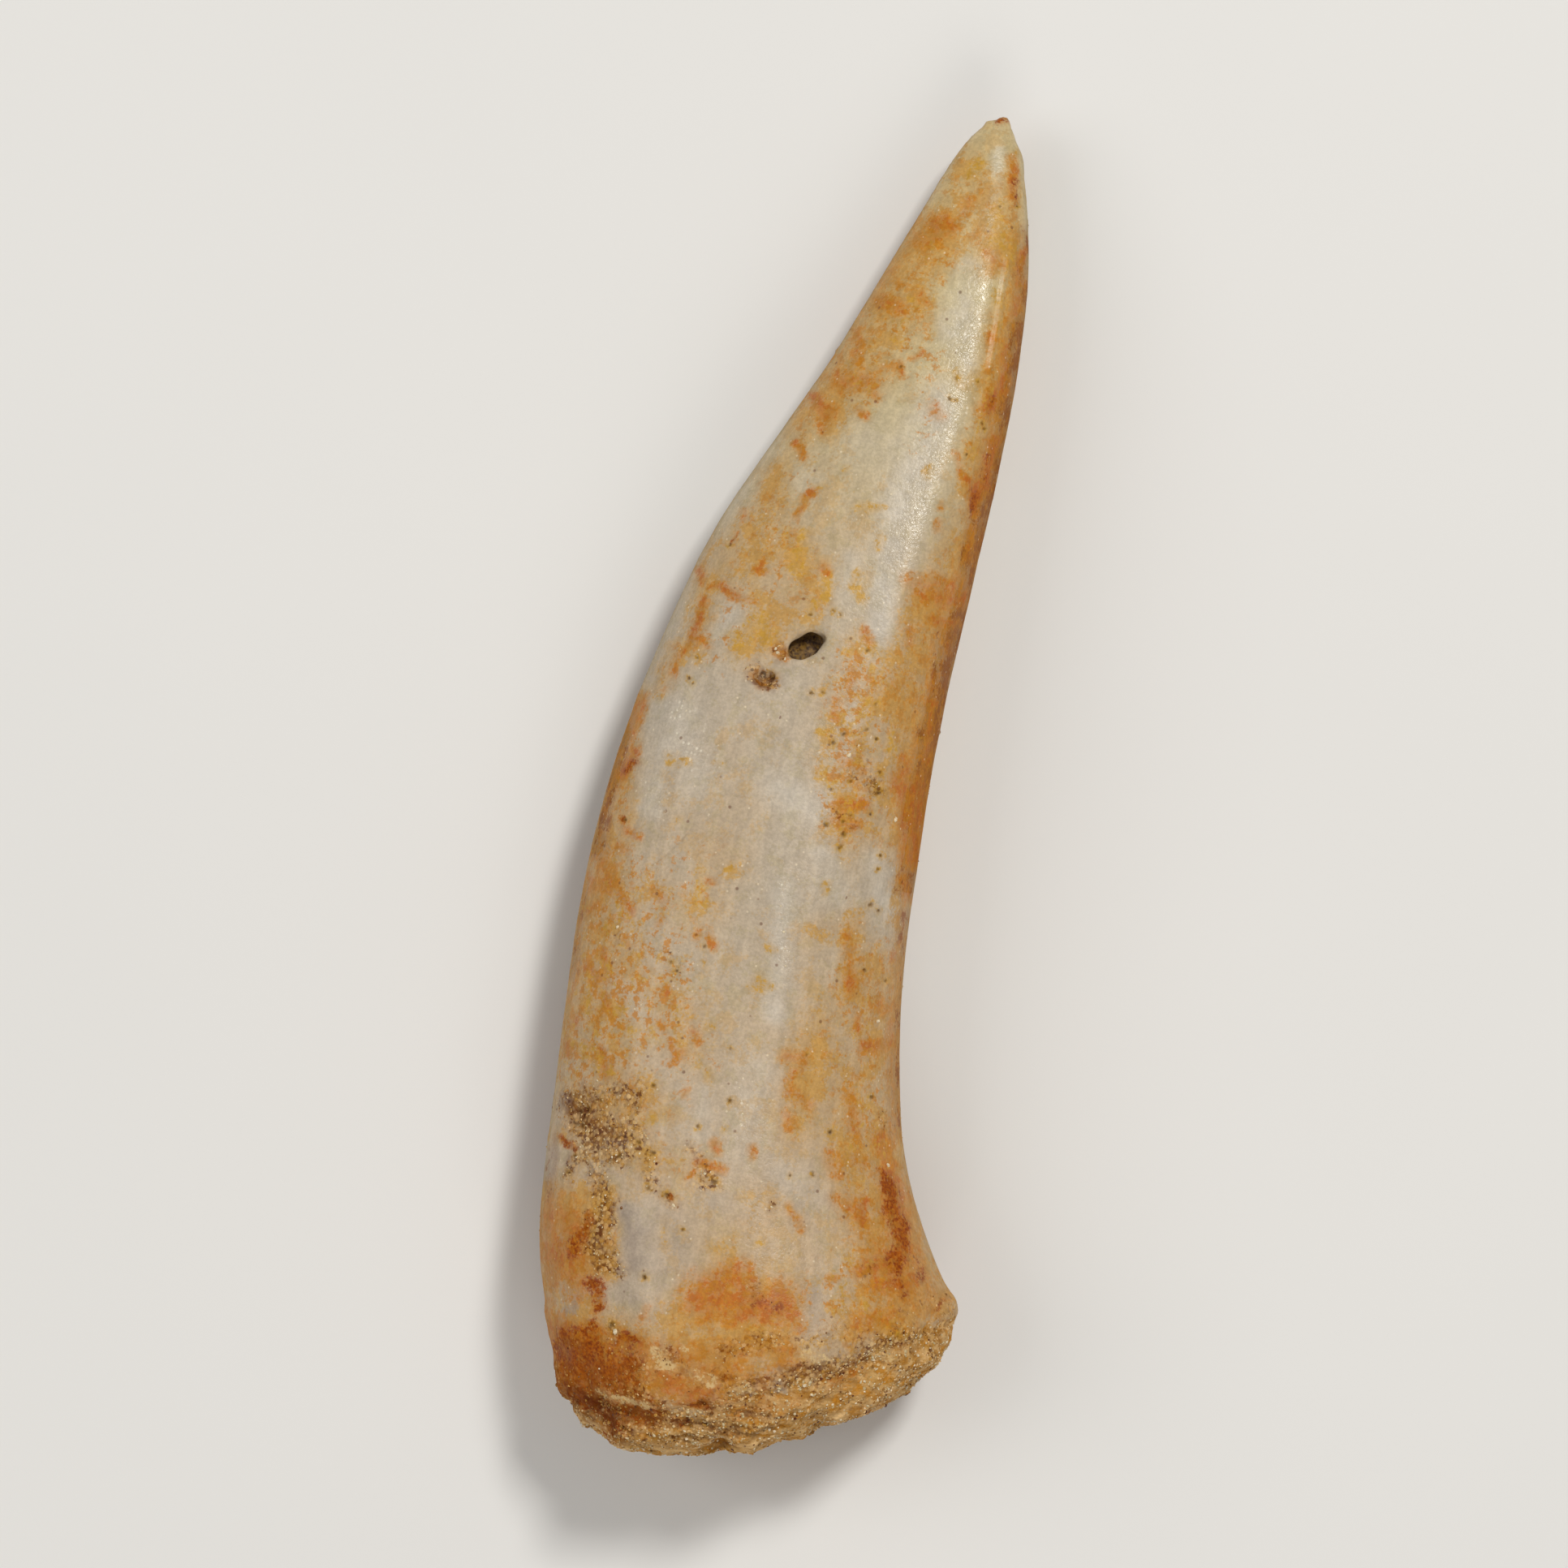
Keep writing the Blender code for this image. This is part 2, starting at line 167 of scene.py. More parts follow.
ORANGE = (
    (674, 1500, 680, 1580, 11, 60), (668, 1600, 676, 1650, 9, 60), (1060, 1500, 1090, 1560, 16, 45),
    (952, 798, 968, 808, 8, 60), (932, 832, 940, 844, 7, 50), (780, 1670, 900, 1700, 16, 45),
    (690, 1645, 760, 1660, 20, 75), (776, 1655, 850, 1668, 14, 55), (700, 1510, 712, 1590, 18, 70),
    (1098, 1455, 1116, 1545, 19, 75), (870, 1594, 960, 1610, 28, 90), (1080, 1560, 1130, 1600, 22, 40),
    (1244, 195, 1248, 240, 6, 70), (1194, 245, 1190, 262, 8, 65), (1152, 274, 1172, 282, 12, 100),
    (1133, 297, 1150, 290, 10, 65), (1088, 372, 1108, 380, 10, 80), (1132, 364, 1140, 372, 9, 70),
    (1222, 312, 1228, 322, 9, 65), (1261, 310, 1258, 350, 6, 80), (1254, 365, 1250, 385, 6, 80),
    (1218, 415, 1222, 428, 6, 65), (1058, 410, 1056, 445, 8, 60), (1035, 470, 1070, 470, 13, 80),
    (1076, 484, 1083, 490, 6, 75), (1108, 448, 1112, 462, 5, 95), (1124, 442, 1142, 434, 4, 75),
    (1088, 452, 1100, 452, 4, 60), (1002, 492, 1020, 508, 11, 95), (1014, 520, 1016, 529, 7, 75),
    (1056, 508, 1066, 512, 6, 75), (981, 546, 991, 562, 5, 95), (1150, 500, 1158, 512, 8, 55),
    (1238, 430, 1235, 480, 7, 75), (1222, 490, 1232, 480, 9, 90), (1212, 505, 1228, 500, 10, 95),
    (1225, 540, 1212, 600, 8, 95), (1184, 586, 1197, 593, 6, 95), (1204, 600, 1200, 630, 7, 100),
    (1198, 650, 1194, 690, 5, 65), (1178, 560, 1182, 580, 6, 55), (1160, 620, 1158, 628, 4, 50),
    (992, 612, 1002, 608, 5, 85), (990, 622, 982, 637, 5, 80), (943, 686, 938, 704, 5, 80),
    (930, 702, 946, 706, 5, 75), (915, 625, 912, 642, 4, 60), (862, 700, 862, 717, 5, 75),
    (874, 724, 888, 720, 4, 80), (892, 721, 908, 736, 5, 95), (908, 736, 930, 743, 4, 65),
    (868, 738, 862, 760, 5, 85), (860, 762, 854, 788, 6, 95), (866, 786, 873, 798, 5, 65),
    (848, 795, 842, 806, 5, 75), (834, 810, 828, 832, 5, 60), (1013, 694, 1019, 702, 6, 95),
    (1155, 645, 1155, 656, 5, 65), (1124, 716, 1172, 720, 12, 65), (1142, 734, 1182, 738, 12, 85),
    (1148, 762, 1176, 768, 7, 85), (1120, 776, 1122, 790, 6, 65), (1165, 780, 1171, 802, 6, 50),
    (1150, 830, 1145, 868, 7, 65), (1064, 776, 1074, 790, 6, 85), (1052, 826, 1046, 846, 5, 60),
    (1030, 860, 1030, 880, 7, 65), (1026, 884, 1032, 891, 4, 90), (1040, 940, 1062, 946, 8, 60),
    (1035, 992, 1062, 990, 10, 85), (1030, 1010, 1052, 1018, 9, 75), (1112, 930, 1118, 948, 6, 75),
    (1108, 958, 1118, 1004, 12, 90), (1134, 960, 1128, 1060, 10, 95), (1150, 868, 1142, 940, 6, 75),
    (1114, 1010, 1112, 1060, 8, 65), (1112, 1080, 1120, 1108, 6, 65), (793, 862, 780, 900, 8, 65),
    (785, 926, 768, 954, 8, 95), (774, 1022, 788, 1030, 6, 80), (762, 1040, 772, 1050, 6, 65),
    (745, 1060, 758, 1092, 9, 60), (726, 1086, 748, 1092, 10, 65), (765, 1104, 777, 1125, 6, 85),
    (805, 1096, 817, 1109, 6, 65), (813, 1140, 820, 1132, 5, 60), (728, 1122, 738, 1114, 6, 75),
    (874, 1083, 878, 1087, 4, 85), (863, 1146, 862, 1153, 5, 75), (878, 1158, 880, 1163, 6, 100),
    (742, 1172, 744, 1185, 5, 90), (722, 1192, 742, 1207, 6, 90), (744, 1226, 748, 1242, 6, 75),
    (712, 1256, 710, 1267, 6, 75), (702, 1286, 704, 1299, 6, 85), (738, 1298, 748, 1324, 7, 90),
    (812, 1261, 818, 1269, 4, 75), (821, 1216, 823, 1225, 4, 95), (852, 1268, 861, 1283, 5, 95),
    (839, 1295, 830, 1309, 6, 95), (824, 1280, 832, 1296, 4, 65), (1046, 1200, 1048, 1222, 8, 85),
    (1056, 1254, 1058, 1272, 5, 90), (1065, 1292, 1086, 1290, 9, 90), (1080, 1235, 1092, 1242, 8, 65),
    (1096, 1262, 1096, 1287, 5, 75), (1100, 1172, 1098, 1185, 4, 75), (968, 1302, 992, 1304, 9, 70),
    (981, 1321, 970, 1331, 7, 65), (1044, 1150, 1046, 1196, 7, 50), (972, 1345, 997, 1363, 9, 65),
    (966, 1372, 973, 1393, 6, 60), (1046, 1352, 1056, 1392, 8, 65), (1022, 1420, 1030, 1450, 8, 60),
    (1040, 1430, 1062, 1430, 10, 50), (1030, 1478, 1062, 1490, 10, 60), (1066, 1480, 1064, 1502, 6, 95),
    (1082, 1398, 1096, 1440, 8, 85), (974, 1488, 987, 1513, 6, 65), (1056, 1566, 1100, 1552, 10, 85),
    (880, 1408, 884, 1417, 6, 100), (860, 1432, 885, 1440, 8, 90), (851, 1446, 844, 1453, 4, 85),
    (847, 1344, 842, 1352, 4, 70), (928, 1410, 926, 1424, 4, 85), (680, 1490, 702, 1500, 10, 60),
    (684, 1540, 704, 1556, 12, 65), (890, 1568, 923, 1562, 11, 75), (856, 1604, 873, 1620, 10, 65),
    (905, 1620, 958, 1608, 14, 90), (955, 1589, 962, 1605, 5, 85), (978, 1618, 987, 1635, 7, 75),
    (875, 1580, 925, 1578, 10, 65), (962, 1672, 988, 1684, 12, 50), (1016, 1574, 1027, 1576, 5, 85),
    (1078, 1584, 1124, 1578, 12, 85), (1062, 1632, 1100, 1618, 14, 65), (820, 1694, 841, 1723, 12, 80),
    (799, 1611, 790, 1623, 5, 60), (690, 1632, 703, 1653, 8, 75), (940, 1712, 951, 1741, 10, 65),
)
# Orange-brown stain along the margins, deepened with painted shade where the sides fall away from the
# light.
MARGIN_STAIN_AND_SHADE = (
    (1268, 290, 1264, 400, 13, 60), (1260, 410, 1240, 540, 17, 85), (1234, 555, 1205, 680, 18, 95),
    (1204, 690, 1182, 770, 16, 85), (1178, 785, 1155, 900, 19, 95), (1153, 910, 1136, 1000, 21, 100),
    (1135, 1010, 1123, 1090, 18, 80), (1117, 1130, 1109, 1390, 14, 40), (776, 868, 758, 955, 9, 60),
    (756, 965, 734, 1050, 9, 55), (722, 1100, 706, 1200, 7, 40), (684, 1400, 678, 1480, 7, 40),
)
ROOT_ORANGE = (
    (700, 1700, 790, 1744, 20, 75), (800, 1700, 900, 1735, 16, 55), (900, 1700, 960, 1690, 10, 40),
    (1020, 1712, 1060, 1692, 12, 75), (905, 1745, 935, 1740, 10, 55), (820, 1712, 880, 1716, 12, 80),
    (960, 1740, 985, 1728, 8, 45), (1098, 1668, 1120, 1662, 7, 40), (866, 1664, 972, 1662, 14, 50),
    (760, 1740, 800, 1752, 12, 60), (735, 1735, 745, 1745, 10, 50), (880, 1770, 905, 1772, 8, 35),
    (868, 1690, 905, 1684, 12, 60),
)
RUST = (
    (1228, 149, 1242, 148, 4, 75), (1250, 225, 1252, 250, 4, 40), (1202, 606, 1200, 623, 5, 50),
    (1214, 560, 1212, 590, 4, 40), (785, 939, 772, 951, 5, 65), (768, 1007, 771, 1012, 3, 80),
    (1092, 1452, 1110, 1530, 9, 70), (1084, 1440, 1100, 1487, 4, 70), (1112, 1512, 1106, 1552, 10, 75),
    (1098, 1552, 1111, 1590, 9, 45), (693, 1400, 699, 1409, 3, 100), (699, 1410, 706, 1417, 3, 80),
    (727, 1498, 716, 1521, 6, 100), (712, 1526, 709, 1540, 10, 70), (728, 1580, 734, 1584, 10, 80),
    (738, 1598, 739, 1610, 8, 70), (732, 1640, 728, 1661, 14, 75), (705, 1665, 766, 1690, 26, 85),
    (700, 1690, 731, 1705, 15, 85), (730, 1700, 800, 1742, 18, 75), (700, 1712, 760, 1760, 14, 85),
    (766, 1650, 782, 1648, 8, 60), (776, 1738, 801, 1753, 8, 80), (854, 1732, 873, 1737, 5, 100),
    (841, 1759, 830, 1754, 5, 70), (822, 1471, 823, 1473, 3, 100), (930, 1604, 958, 1612, 8, 40),
    (1226, 494, 1218, 506, 5, 50), (737, 1294, 742, 1300, 3, 60), (907, 655, 903, 668, 3, 50),
    (693, 1640, 700, 1655, 5, 60), (1130, 1555, 1135, 1575, 8, 30), (1160, 1600, 1150, 1615, 4, 35),
)
# Pale patches of the enamel; along the crest the same strokes paint its highlight.
PALE_AND_HIGHLIGHT_STROKES = (
    (766, 1492, 792, 1514, 9, 100), (748, 1590, 762, 1600, 6, 50), (815, 1660, 830, 1674, 9, 60),
    (690, 1510, 694, 1530, 6, 60), (1100, 1110, 1096, 1180, 8, 50), (960, 1460, 1010, 1480, 16, 50),
    (1230, 188, 1226, 212, 7, 80), (1218, 240, 1216, 280, 7, 30), (1196, 330, 1180, 400, 18, 65),
    (1175, 400, 1190, 440, 16, 70), (1160, 500, 1112, 620, 26, 80), (1120, 620, 1098, 690, 22, 80),
    (1090, 720, 1085, 770, 14, 95), (990, 588, 1000, 600, 13, 50), (905, 755, 884, 782, 13, 90),
    (1050, 690, 1040, 735, 12, 50), (840, 880, 860, 960, 26, 75), (960, 970, 1002, 1000, 22, 80),
    (1010, 1050, 1022, 1066, 12, 80), (1050, 886, 1055, 874, 8, 75), (1040, 929, 1042, 932, 7, 75),
    (968, 1090, 955, 1250, 14, 75), (1080, 780, 1010, 1000, 12, 35), (930, 1320, 915, 1440, 24, 50),
    (782, 1500, 776, 1560, 13, 100), (800, 1545, 816, 1575, 15, 60), (705, 1600, 699, 1615, 10, 100),
    (766, 1580, 782, 1600, 8, 60), (1000, 1590, 1005, 1650, 13, 70), (1080, 1060, 1090, 1110, 15, 70),
    (803, 1002, 790, 992, 9, 65), (1086, 1479, 1091, 1490, 6, 60), (1150, 1632, 1162, 1640, 8, 70),
    (1032, 1662, 1010, 1672, 10, 60), (702, 1340, 690, 1380, 7, 60), (682, 1420, 676, 1446, 6, 50),
    (880, 1480, 922, 1490, 18, 50), (955, 1440, 990, 1450, 15, 50), (760, 1210, 790, 1245, 12, 40),
    (1060, 545, 1090, 560, 24, 35), (690, 1590, 684, 1570, 6, 60), (870, 1350, 862, 1400, 10, 40),
    (818, 1500, 850, 1565, 18, 55), (822, 890, 802, 990, 12, 70), (1020, 1080, 1040, 1120, 14, 40),
)
SAND = (
    (714, 1362, 738, 1404, 24, 95), (745, 1350, 782, 1346, 16, 60), (742, 1396, 772, 1404, 17, 75),
    (728, 1421, 766, 1428, 14, 65), (710, 1424, 700, 1447, 8, 55), (735, 1450, 748, 1484, 14, 80),
    (744, 1484, 750, 1506, 13, 80), (728, 1508, 742, 1552, 16, 95), (744, 1544, 761, 1566, 12, 65),
    (784, 1366, 770, 1384, 12, 55), (790, 1396, 803, 1440, 13, 45), (796, 1456, 832, 1483, 10, 45),
    (850, 1412, 861, 1421, 8, 45), (862, 1440, 881, 1450, 9, 60), (858, 1460, 885, 1463, 8, 60),
    (928, 828, 951, 843, 11, 85), (958, 799, 965, 806, 8, 85), (1074, 964, 1085, 977, 8, 60),
    (1035, 950, 1071, 962, 8, 35), (1026, 1000, 1051, 1018, 10, 40), (1062, 1575, 1071, 1560, 9, 45),
    (818, 1665, 827, 1673, 13, 65), (742, 1722, 792, 1718, 12, 85), (890, 1664, 946, 1652, 12, 75),
    (925, 1585, 936, 1598, 9, 45), (1080, 1655, 1112, 1640, 10, 60), (885, 1694, 916, 1703, 12, 60),
    (700, 1655, 715, 1662, 8, 45), (1085, 1370, 1088, 1390, 7, 40), (950, 1484, 952, 1490, 6, 55),
    (758, 1150, 766, 1160, 6, 45), (975, 1700, 1040, 1682, 12, 75), (755, 1630, 760, 1644, 8, 65),
    (822, 1178, 836, 1196, 10, 45), (1046, 900, 1078, 960, 16, 25), (690, 1690, 760, 1700, 14, 45),
    (770, 1680, 860, 1700, 22, 40), (960, 1660, 1060, 1640, 20, 30), (1100, 1620, 1160, 1600, 14, 25),
)

# Where the crest and the pale patch are worn into small facets that sparkle, and where glints are painted
# on them as bright dots.
GLEAM = (
    (1218, 260, 1212, 330, 8, 30), (1213, 340, 1205, 390, 9, 80), (1194, 405, 1180, 490, 18, 100),
    (1178, 500, 1160, 560, 15, 90), (1146, 570, 1112, 680, 20, 80), (836, 880, 866, 940, 20, 80),
    (800, 960, 812, 1000, 12, 70), (966, 1090, 966, 1190, 7, 80), (913, 1330, 914, 1400, 6, 80),
)

# Wide areas that small ochre and orange freckles are scattered over.
FRECKLES = (
    (740, 1080, 720, 1300, 60, 60), (850, 1060, 820, 1200, 60, 40), (960, 1100, 1000, 1280, 60, 20),
    (800, 1230, 850, 1300, 60, 45), (740, 1330, 850, 1440, 60, 30), (1070, 1180, 1060, 1400, 50, 45),
    (1090, 1420, 1060, 1560, 50, 40), (1060, 820, 1040, 1000, 45, 65), (960, 700, 880, 800, 50, 40),
    (1150, 780, 1120, 1000, 30, 45), (1060, 470, 1160, 300, 50, 50), (1200, 560, 1240, 400, 25, 50),
    (780, 880, 760, 1000, 20, 50), (900, 1600, 1100, 1620, 60, 45), (700, 1500, 700, 1620, 40, 40),
    (1150, 440, 1130, 560, 30, 35), (1000, 560, 960, 640, 40, 35),
)

# Cream flakes that show through the orange of the root.
FLAKES = (
    (806, 1664, 824, 1686, 9, 75), (856, 1692, 878, 1704, 9, 60), (756, 1722, 800, 1733, 5, 75),
    (735, 1716, 752, 1722, 4, 50), (1092, 1664, 1100, 1672, 8, 60), (900, 1718, 925, 1712, 6, 40),
    (845, 1660, 856, 1664, 5, 50), (996, 1662, 1014, 1678, 9, 60), (955, 1655, 962, 1662, 5, 40),
)

# Painted shade: hollows in the packed sand, and round the small pit, painted dark as their shadow.
SHADED_HOLLOWS = (
    (700, 1352, 716, 1384, 9, 70), (722, 1372, 736, 1398, 9, 55), (722, 1340, 730, 1352, 7, 40),
    (738, 1512, 746, 1548, 5, 55), (700, 1425, 706, 1440, 5, 35), (745, 1388, 752, 1402, 5, 35),
    (722, 1722, 740, 1732, 6, 45), (1000, 1697, 1020, 1688, 5, 45), (968, 1708, 978, 1704, 5, 45),
    (958, 812, 966, 806, 5, 35), (928, 838, 936, 846, 3, 70), (934, 829, 941, 827, 3, 50),
    (947, 831, 953, 840, 4, 85), (941, 848, 949, 847, 3, 60), (704, 1716, 760, 1752, 13, 70),
    (780, 1744, 880, 1756, 9, 50), (866, 1730, 878, 1738, 5, 60), (1040, 1688, 1056, 1680, 4, 50),
    (905, 1728, 930, 1724, 6, 30), (828, 1759, 872, 1762, 4, 70), (922, 1749, 942, 1752, 4, 60),
    (700, 1735, 725, 1755, 4, 60), (760, 1762, 800, 1770, 4, 50), (962, 1688, 1012, 1684, 3, 60),
    (890, 1700, 905, 1698, 4, 50), (840, 1690, 850, 1696, 4, 40),
)

# The dark band of loose sand that runs round the broken end.
BAND = (
    (704, 1706, 745, 1730, 18, 60), (745, 1730, 800, 1740, 22, 75), (815, 1748, 880, 1752, 22, 55),
    (880, 1728, 930, 1722, 18, 50), (915, 1714, 960, 1702, 14, 75), (975, 1702, 1010, 1690, 16, 85),
    (1010, 1692, 1075, 1668, 14, 70), (1075, 1668, 1132, 1648, 11, 70), (760, 1764, 860, 1778, 14, 50),
    (900, 1768, 990, 1748, 12, 40), (1135, 1646, 1160, 1632, 8, 45), (930, 1745, 950, 1740, 10, 45),
)

# Pale grains that stand out on their own, and small white grains set as painted glints along the crest and
# on the left side: centre and radius in photograph pixels.
FLECKS_AND_GLINTS = (
    (1081, 1258, 5.5), (759, 1640, 5.0), (957, 806, 4.0), (955, 801, 3.0), (1094, 1435, 3.5),
    (738, 1687, 2.5), (866, 1447, 3.5), (1045, 930, 4.0), (968, 812, 2.5), (950, 1486, 3.5),
    (827, 1487, 3.0), (1103, 1010, 3.5), (961, 1116, 1.8), (963, 1133, 1.5), (964, 1150, 2.0),
    (966, 1170, 1.5), (967, 1188, 1.6), (913, 1338, 1.6), (914, 1356, 1.5), (914, 1372, 2.0),
    (913, 1384, 1.4), (763, 1140, 3.0), (768, 1146, 2.2), (1186, 452, 1.8), (1183, 470, 2.2),
    (1180, 488, 1.6), (1178, 500, 2.0), (1160, 560, 1.8), (1156, 574, 1.5),
)

# Colours as the photograph shows them, in sRGB. The sheen adds about this much light of its own to each.
SHEEN_LIGHT = 0.013
CREAM = (194, 178, 138)
IVORY = (183, 168, 147)
BUFF = (187, 168, 144)
LILAC = (154, 137, 121)
# White of the pale patches, also painted along the crest as a highlight.
PALE_AND_HIGHLIGHT_WHITE = (195, 184, 168)
# Grey-green mottling, also painted as light on the steep sides.
GREEN_GREY = (166, 150, 106)
TAN = (188, 140, 68)
WASH_TONE = (187, 148, 88)
OCHRE_TONE = (188, 143, 56)
ORANGE_TONE = (186, 122, 40)
ORANGE_DEEP = (174, 96, 0)
RUST_TONE = (160, 88, 0)
RUST_DEEP = (134, 64, 0)
# Stain and painted shade of the margins.
MARGIN_STAIN_AND_SHADE_TONE = (140, 82, 6)
PORE_TONE = (58, 26, 0)
FLAKE_TONE = (212, 182, 130)
# Painted glints.
PAINTED_GLINT = (240, 230, 208)
OLIVE = (140, 106, 54)
# Painted shade in the sand's hollows.
PAINTED_SHADE_TONE = (88, 44, 6)
SAND_DARK = (98, 54, 4)
SAND_MIDDLE = (172, 122, 62)
SAND_LIGHT = (222, 184, 130)
GRAIN_WHITE = (232, 214, 182)
FLOOR_TONE = (226, 224, 220)

# How much the clean enamel reflects, and the places where sand, breaks and rust make the tooth matt; the
# pits, the margins and the painted shade reflect as little.
ENAMEL_REFLECTION = 0.28
MATT_REFLECTION = 0.06
MATT_PLACES = ("sand", "broken", "rust", "painted_shade", "dark", "edge")
MATT_FROM = 0.4  # of one of their masks

# Fields of noise on the fang: size of their lumps, number of layers, and a shift that makes each its own.
FIELDS = {
    "broad_x": (0.9, 2, 11.0), "broad_y": (0.9, 2, 37.0), "fine_x": (0.28, 1, 13.0),
    "fine_y": (0.28, 1, 43.0), "tiny_x": (0.09, 1, 19.0), "tiny_y": (0.09, 1, 7.0),
    "patch": (3.0, 3, 71.0), "blotch": (1.3, 3, 53.0), "end_sand": (1.2, 3, 97.0),
    "under_sand": (1.1, 3, 91.0), "speckle": (0.7, 3, 29.0), "dusk_grit": (0.16, 2, 83.0),
    "layers": (0.32, 4, 61.0), "rough": (0.24, 2, 47.0), "gritty": (0.11, 2, 59.0),
    "swell": (2.4, 2, 3.0), "ridges": (0.34, 2, 17.0), "grain": (0.36, 2, 41.0),
    "clumps": (0.42, 3, 23.0), "lumps": (1.2, 3, 67.0),
}
LAYER_SCALE = np.array((0.35, 1.0, 1.0))  # the break's layers run across the fang
RIDGE_SCALE = np.array((1.0, 0.05, 1.0))  # the growth ridges run along it

# Heights of the fine relief.
SWELL_HEIGHT = 0.024
RIDGE_HEIGHT, RIDGE_HEIGHT_MORE = 0.002, 0.004  # at the tip, and what the root's end adds
GRAIN_HEIGHT = 0.004
CRUST_HEIGHTS = (0.012, 0.045, 0.035)  # of the sand's bed, its grains and its clumps
ROOT_HEIGHTS = (-0.14, 0.10, -0.12, 0.035)  # of the break, its lumps, its hollows and its grains
PIT_FLOOR_HEIGHTS = (0.08, 0.07)  # of the coarse and the fine grains in a pit

# Stuck grains: how many, and their smallest and largest radius. Their middles lie just under the surface.
DRAWS_SEED = 38
ROOT_GRAINS, ROOT_RADII = 7000, (0.02, 0.075)
PATCH_GRAINS, PATCH_RADII = 3400, (0.02, 0.055)
GRAIN_SINK = -0.20  # as a share of the radius
FLECK_AND_GLINT_TONE = 0.95

# The studio. A softbox has its place to the right, up and high over the fang, its width and depth, its
# power in watts and its tint.
SOFTBOXES = {
    "top_softbox": ((105.0, 150.0, 280.0), (60.0, 70.0), 0.66, (1.0, 0.99, 0.97)),
    "left_softbox": ((-200.0, 20.0, 200.0), (150.0, 180.0), 0.20, (0.97, 0.985, 1.0)),
    "root_softbox": ((40.0, -230.0, 190.0), (180.0, 120.0), 0.20, (1.0, 0.98, 0.95)),
}
SKY_TINT = (1.0, 0.99, 0.97, 1.0)
SKY_STRENGTH = 0.26
FLOOR_RADIUS = 1600.0
FLOOR_SIDES = 96


def linear(tone):
    """A colour as it looks, sRGB 0 to 255, as the linear base colour that Blender takes."""
    shares = [part / 255.0 for part in tone]
    plain = [s / 12.92 if s < 0.04045 else ((s + 0.055) / 1.055) ** 2.4 for s in shares]
    return tuple(max(part - SHEEN_LIGHT, 0.004) for part in plain) + (1.0,)


def smooth_step(low, high, values):
    share = np.clip((values - low) / (high - low), 0.0, 1.0)
    return share * share * (3.0 - 2.0 * share)


def field(points, name):
    """Smooth noise of about -1 to 1 at each point."""
    size, layers, shift = FIELDS[name]
    places = (points / size + shift).tolist()
    if layers == 1:
        return np.array([noise.noise(place) for place in places])
    return np.array([noise.fractal(place, 1.0, 2.0, layers) for place in places])


def sway(points, name):
    """Noise in two directions, which makes a mark's outline wander."""
    return np.stack([field(points, name + "_x"), field(points, name + "_y")], axis=1)


def photo_place(points):
    """Where the photograph shows points of the fang, in its pixels."""
    flat = points[:, :2] - PHOTO_MIDDLE
    scale = PIXELS_PER_MM * CAMERA_RISE / (CAMERA_RISE + MARGIN_HEIGHT - points[:, 2])
    half = PHOTO_PIXELS / 2.0
    return np.stack([half + flat @ PHOTO_RIGHT * scale, half - flat @ PHOTO_UP * scale], axis=1)


def spot_distance(places, x, y):
    return np.hypot(places[:, 0] - x, places[:, 1] - y)


def stroke_distance(places, stroke):
    """Distance from each place to the straight line of a stroke."""
    start = np.array(stroke[:2], float)
    run = np.array(stroke[2:4], float) - start
    share = np.clip((places - start) @ run / max(run @ run, 1e-6), 0.0, 1.0)
    return np.linalg.norm(places - start - share[:, None] * run, axis=1)


def stroke_cover(places, strokes, reach=1.8):
    """How strongly a set of strokes covers each place, 0 to 1, fading out at reach half widths."""
    bare = np.ones(len(places))
    for stroke in strokes:
        half_width, strength = stroke[4], stroke[5] / 100.0
        bare *= 1.0 - strength * smooth_step(reach, 0.0, stroke_distance(places, stroke) / half_width)
    return 1.0 - bare


def pit_reach(places, pit):
    """0 in the middle of a pit, 1 on its rim."""
    x, y, half_length, half_width, turn = pit[:5]
    offset = places - np.array((x, y), float)
    along = np.array((math.cos(math.radians(turn)), -math.sin(math.radians(turn))))
    across = np.array((-along[1], along[0]))
    return np.hypot(offset @ along / half_length, offset @ across / half_width)


def path_distance(places, path):
    """Distance from each place to a path of straight pieces."""
    pieces = [start + end for start, end in zip(path, path[1:])]
    return np.min([stroke_distance(places, piece) for piece in pieces], axis=0)


def read_numbers(items, name, width=1, kind=float):
    """One property of all of a mesh's items as an array, with a row for each item if it has a width."""
    numbers = np.empty(len(items) * width, kind)
    items.foreach_get(name, numbers)
    return numbers.reshape(-1, width) if width > 1 else numbers


def points_of(mesh):
    """A mesh's points in millimetres."""
    return read_numbers(mesh.vertices, "co", 3) / MM


def normals_of(mesh):
    return read_numbers(mesh.vertices, "normal", 3)


def set_points(mesh, points):
    mesh.vertices.foreach_set("co", (points * MM).ravel())
    mesh.update()


def place_object(name, data):
    item = bpy.data.objects.new(name, data)
    bpy.context.scene.collection.objects.link(item)
    return item


def smoothed(points, edges):
    """The surface with its facets smoothed away and its size kept."""
    count = np.bincount(edges.ravel(), minlength=len(points))[:, None]
    ends = np.concatenate([edges[:, 0], edges[:, 1]])
    others = np.concatenate([edges[:, 1], edges[:, 0]])
    for _ in range(SMOOTHING_STEPS):
        for share in (SMOOTHING_IN, SMOOTHING_OUT):
            total = np.stack([np.bincount(ends, points[others, k], len(points)) for k in range(3)], axis=1)
            points = points + share * (total / count - points)
    return points


def even_mesh(source):
    """A closed mesh of small, even faces with the shape of a CAD node."""
    work = place_object("even_work", source.data.copy())
    weld = work.modifiers.new("weld", "WELD")
    weld.merge_threshold = 1e-6
    remesh = work.modifiers.new("remesh", "REMESH")
    remesh.mode = "VOXEL"
    remesh.voxel_size = VOXEL * MM
    graph = bpy.context.evaluated_depsgraph_get()
    mesh = bpy.data.meshes.new_from_object(work.evaluated_get(graph))
    bpy.data.objects.remove(work)
    mesh.materials.clear()
    return mesh


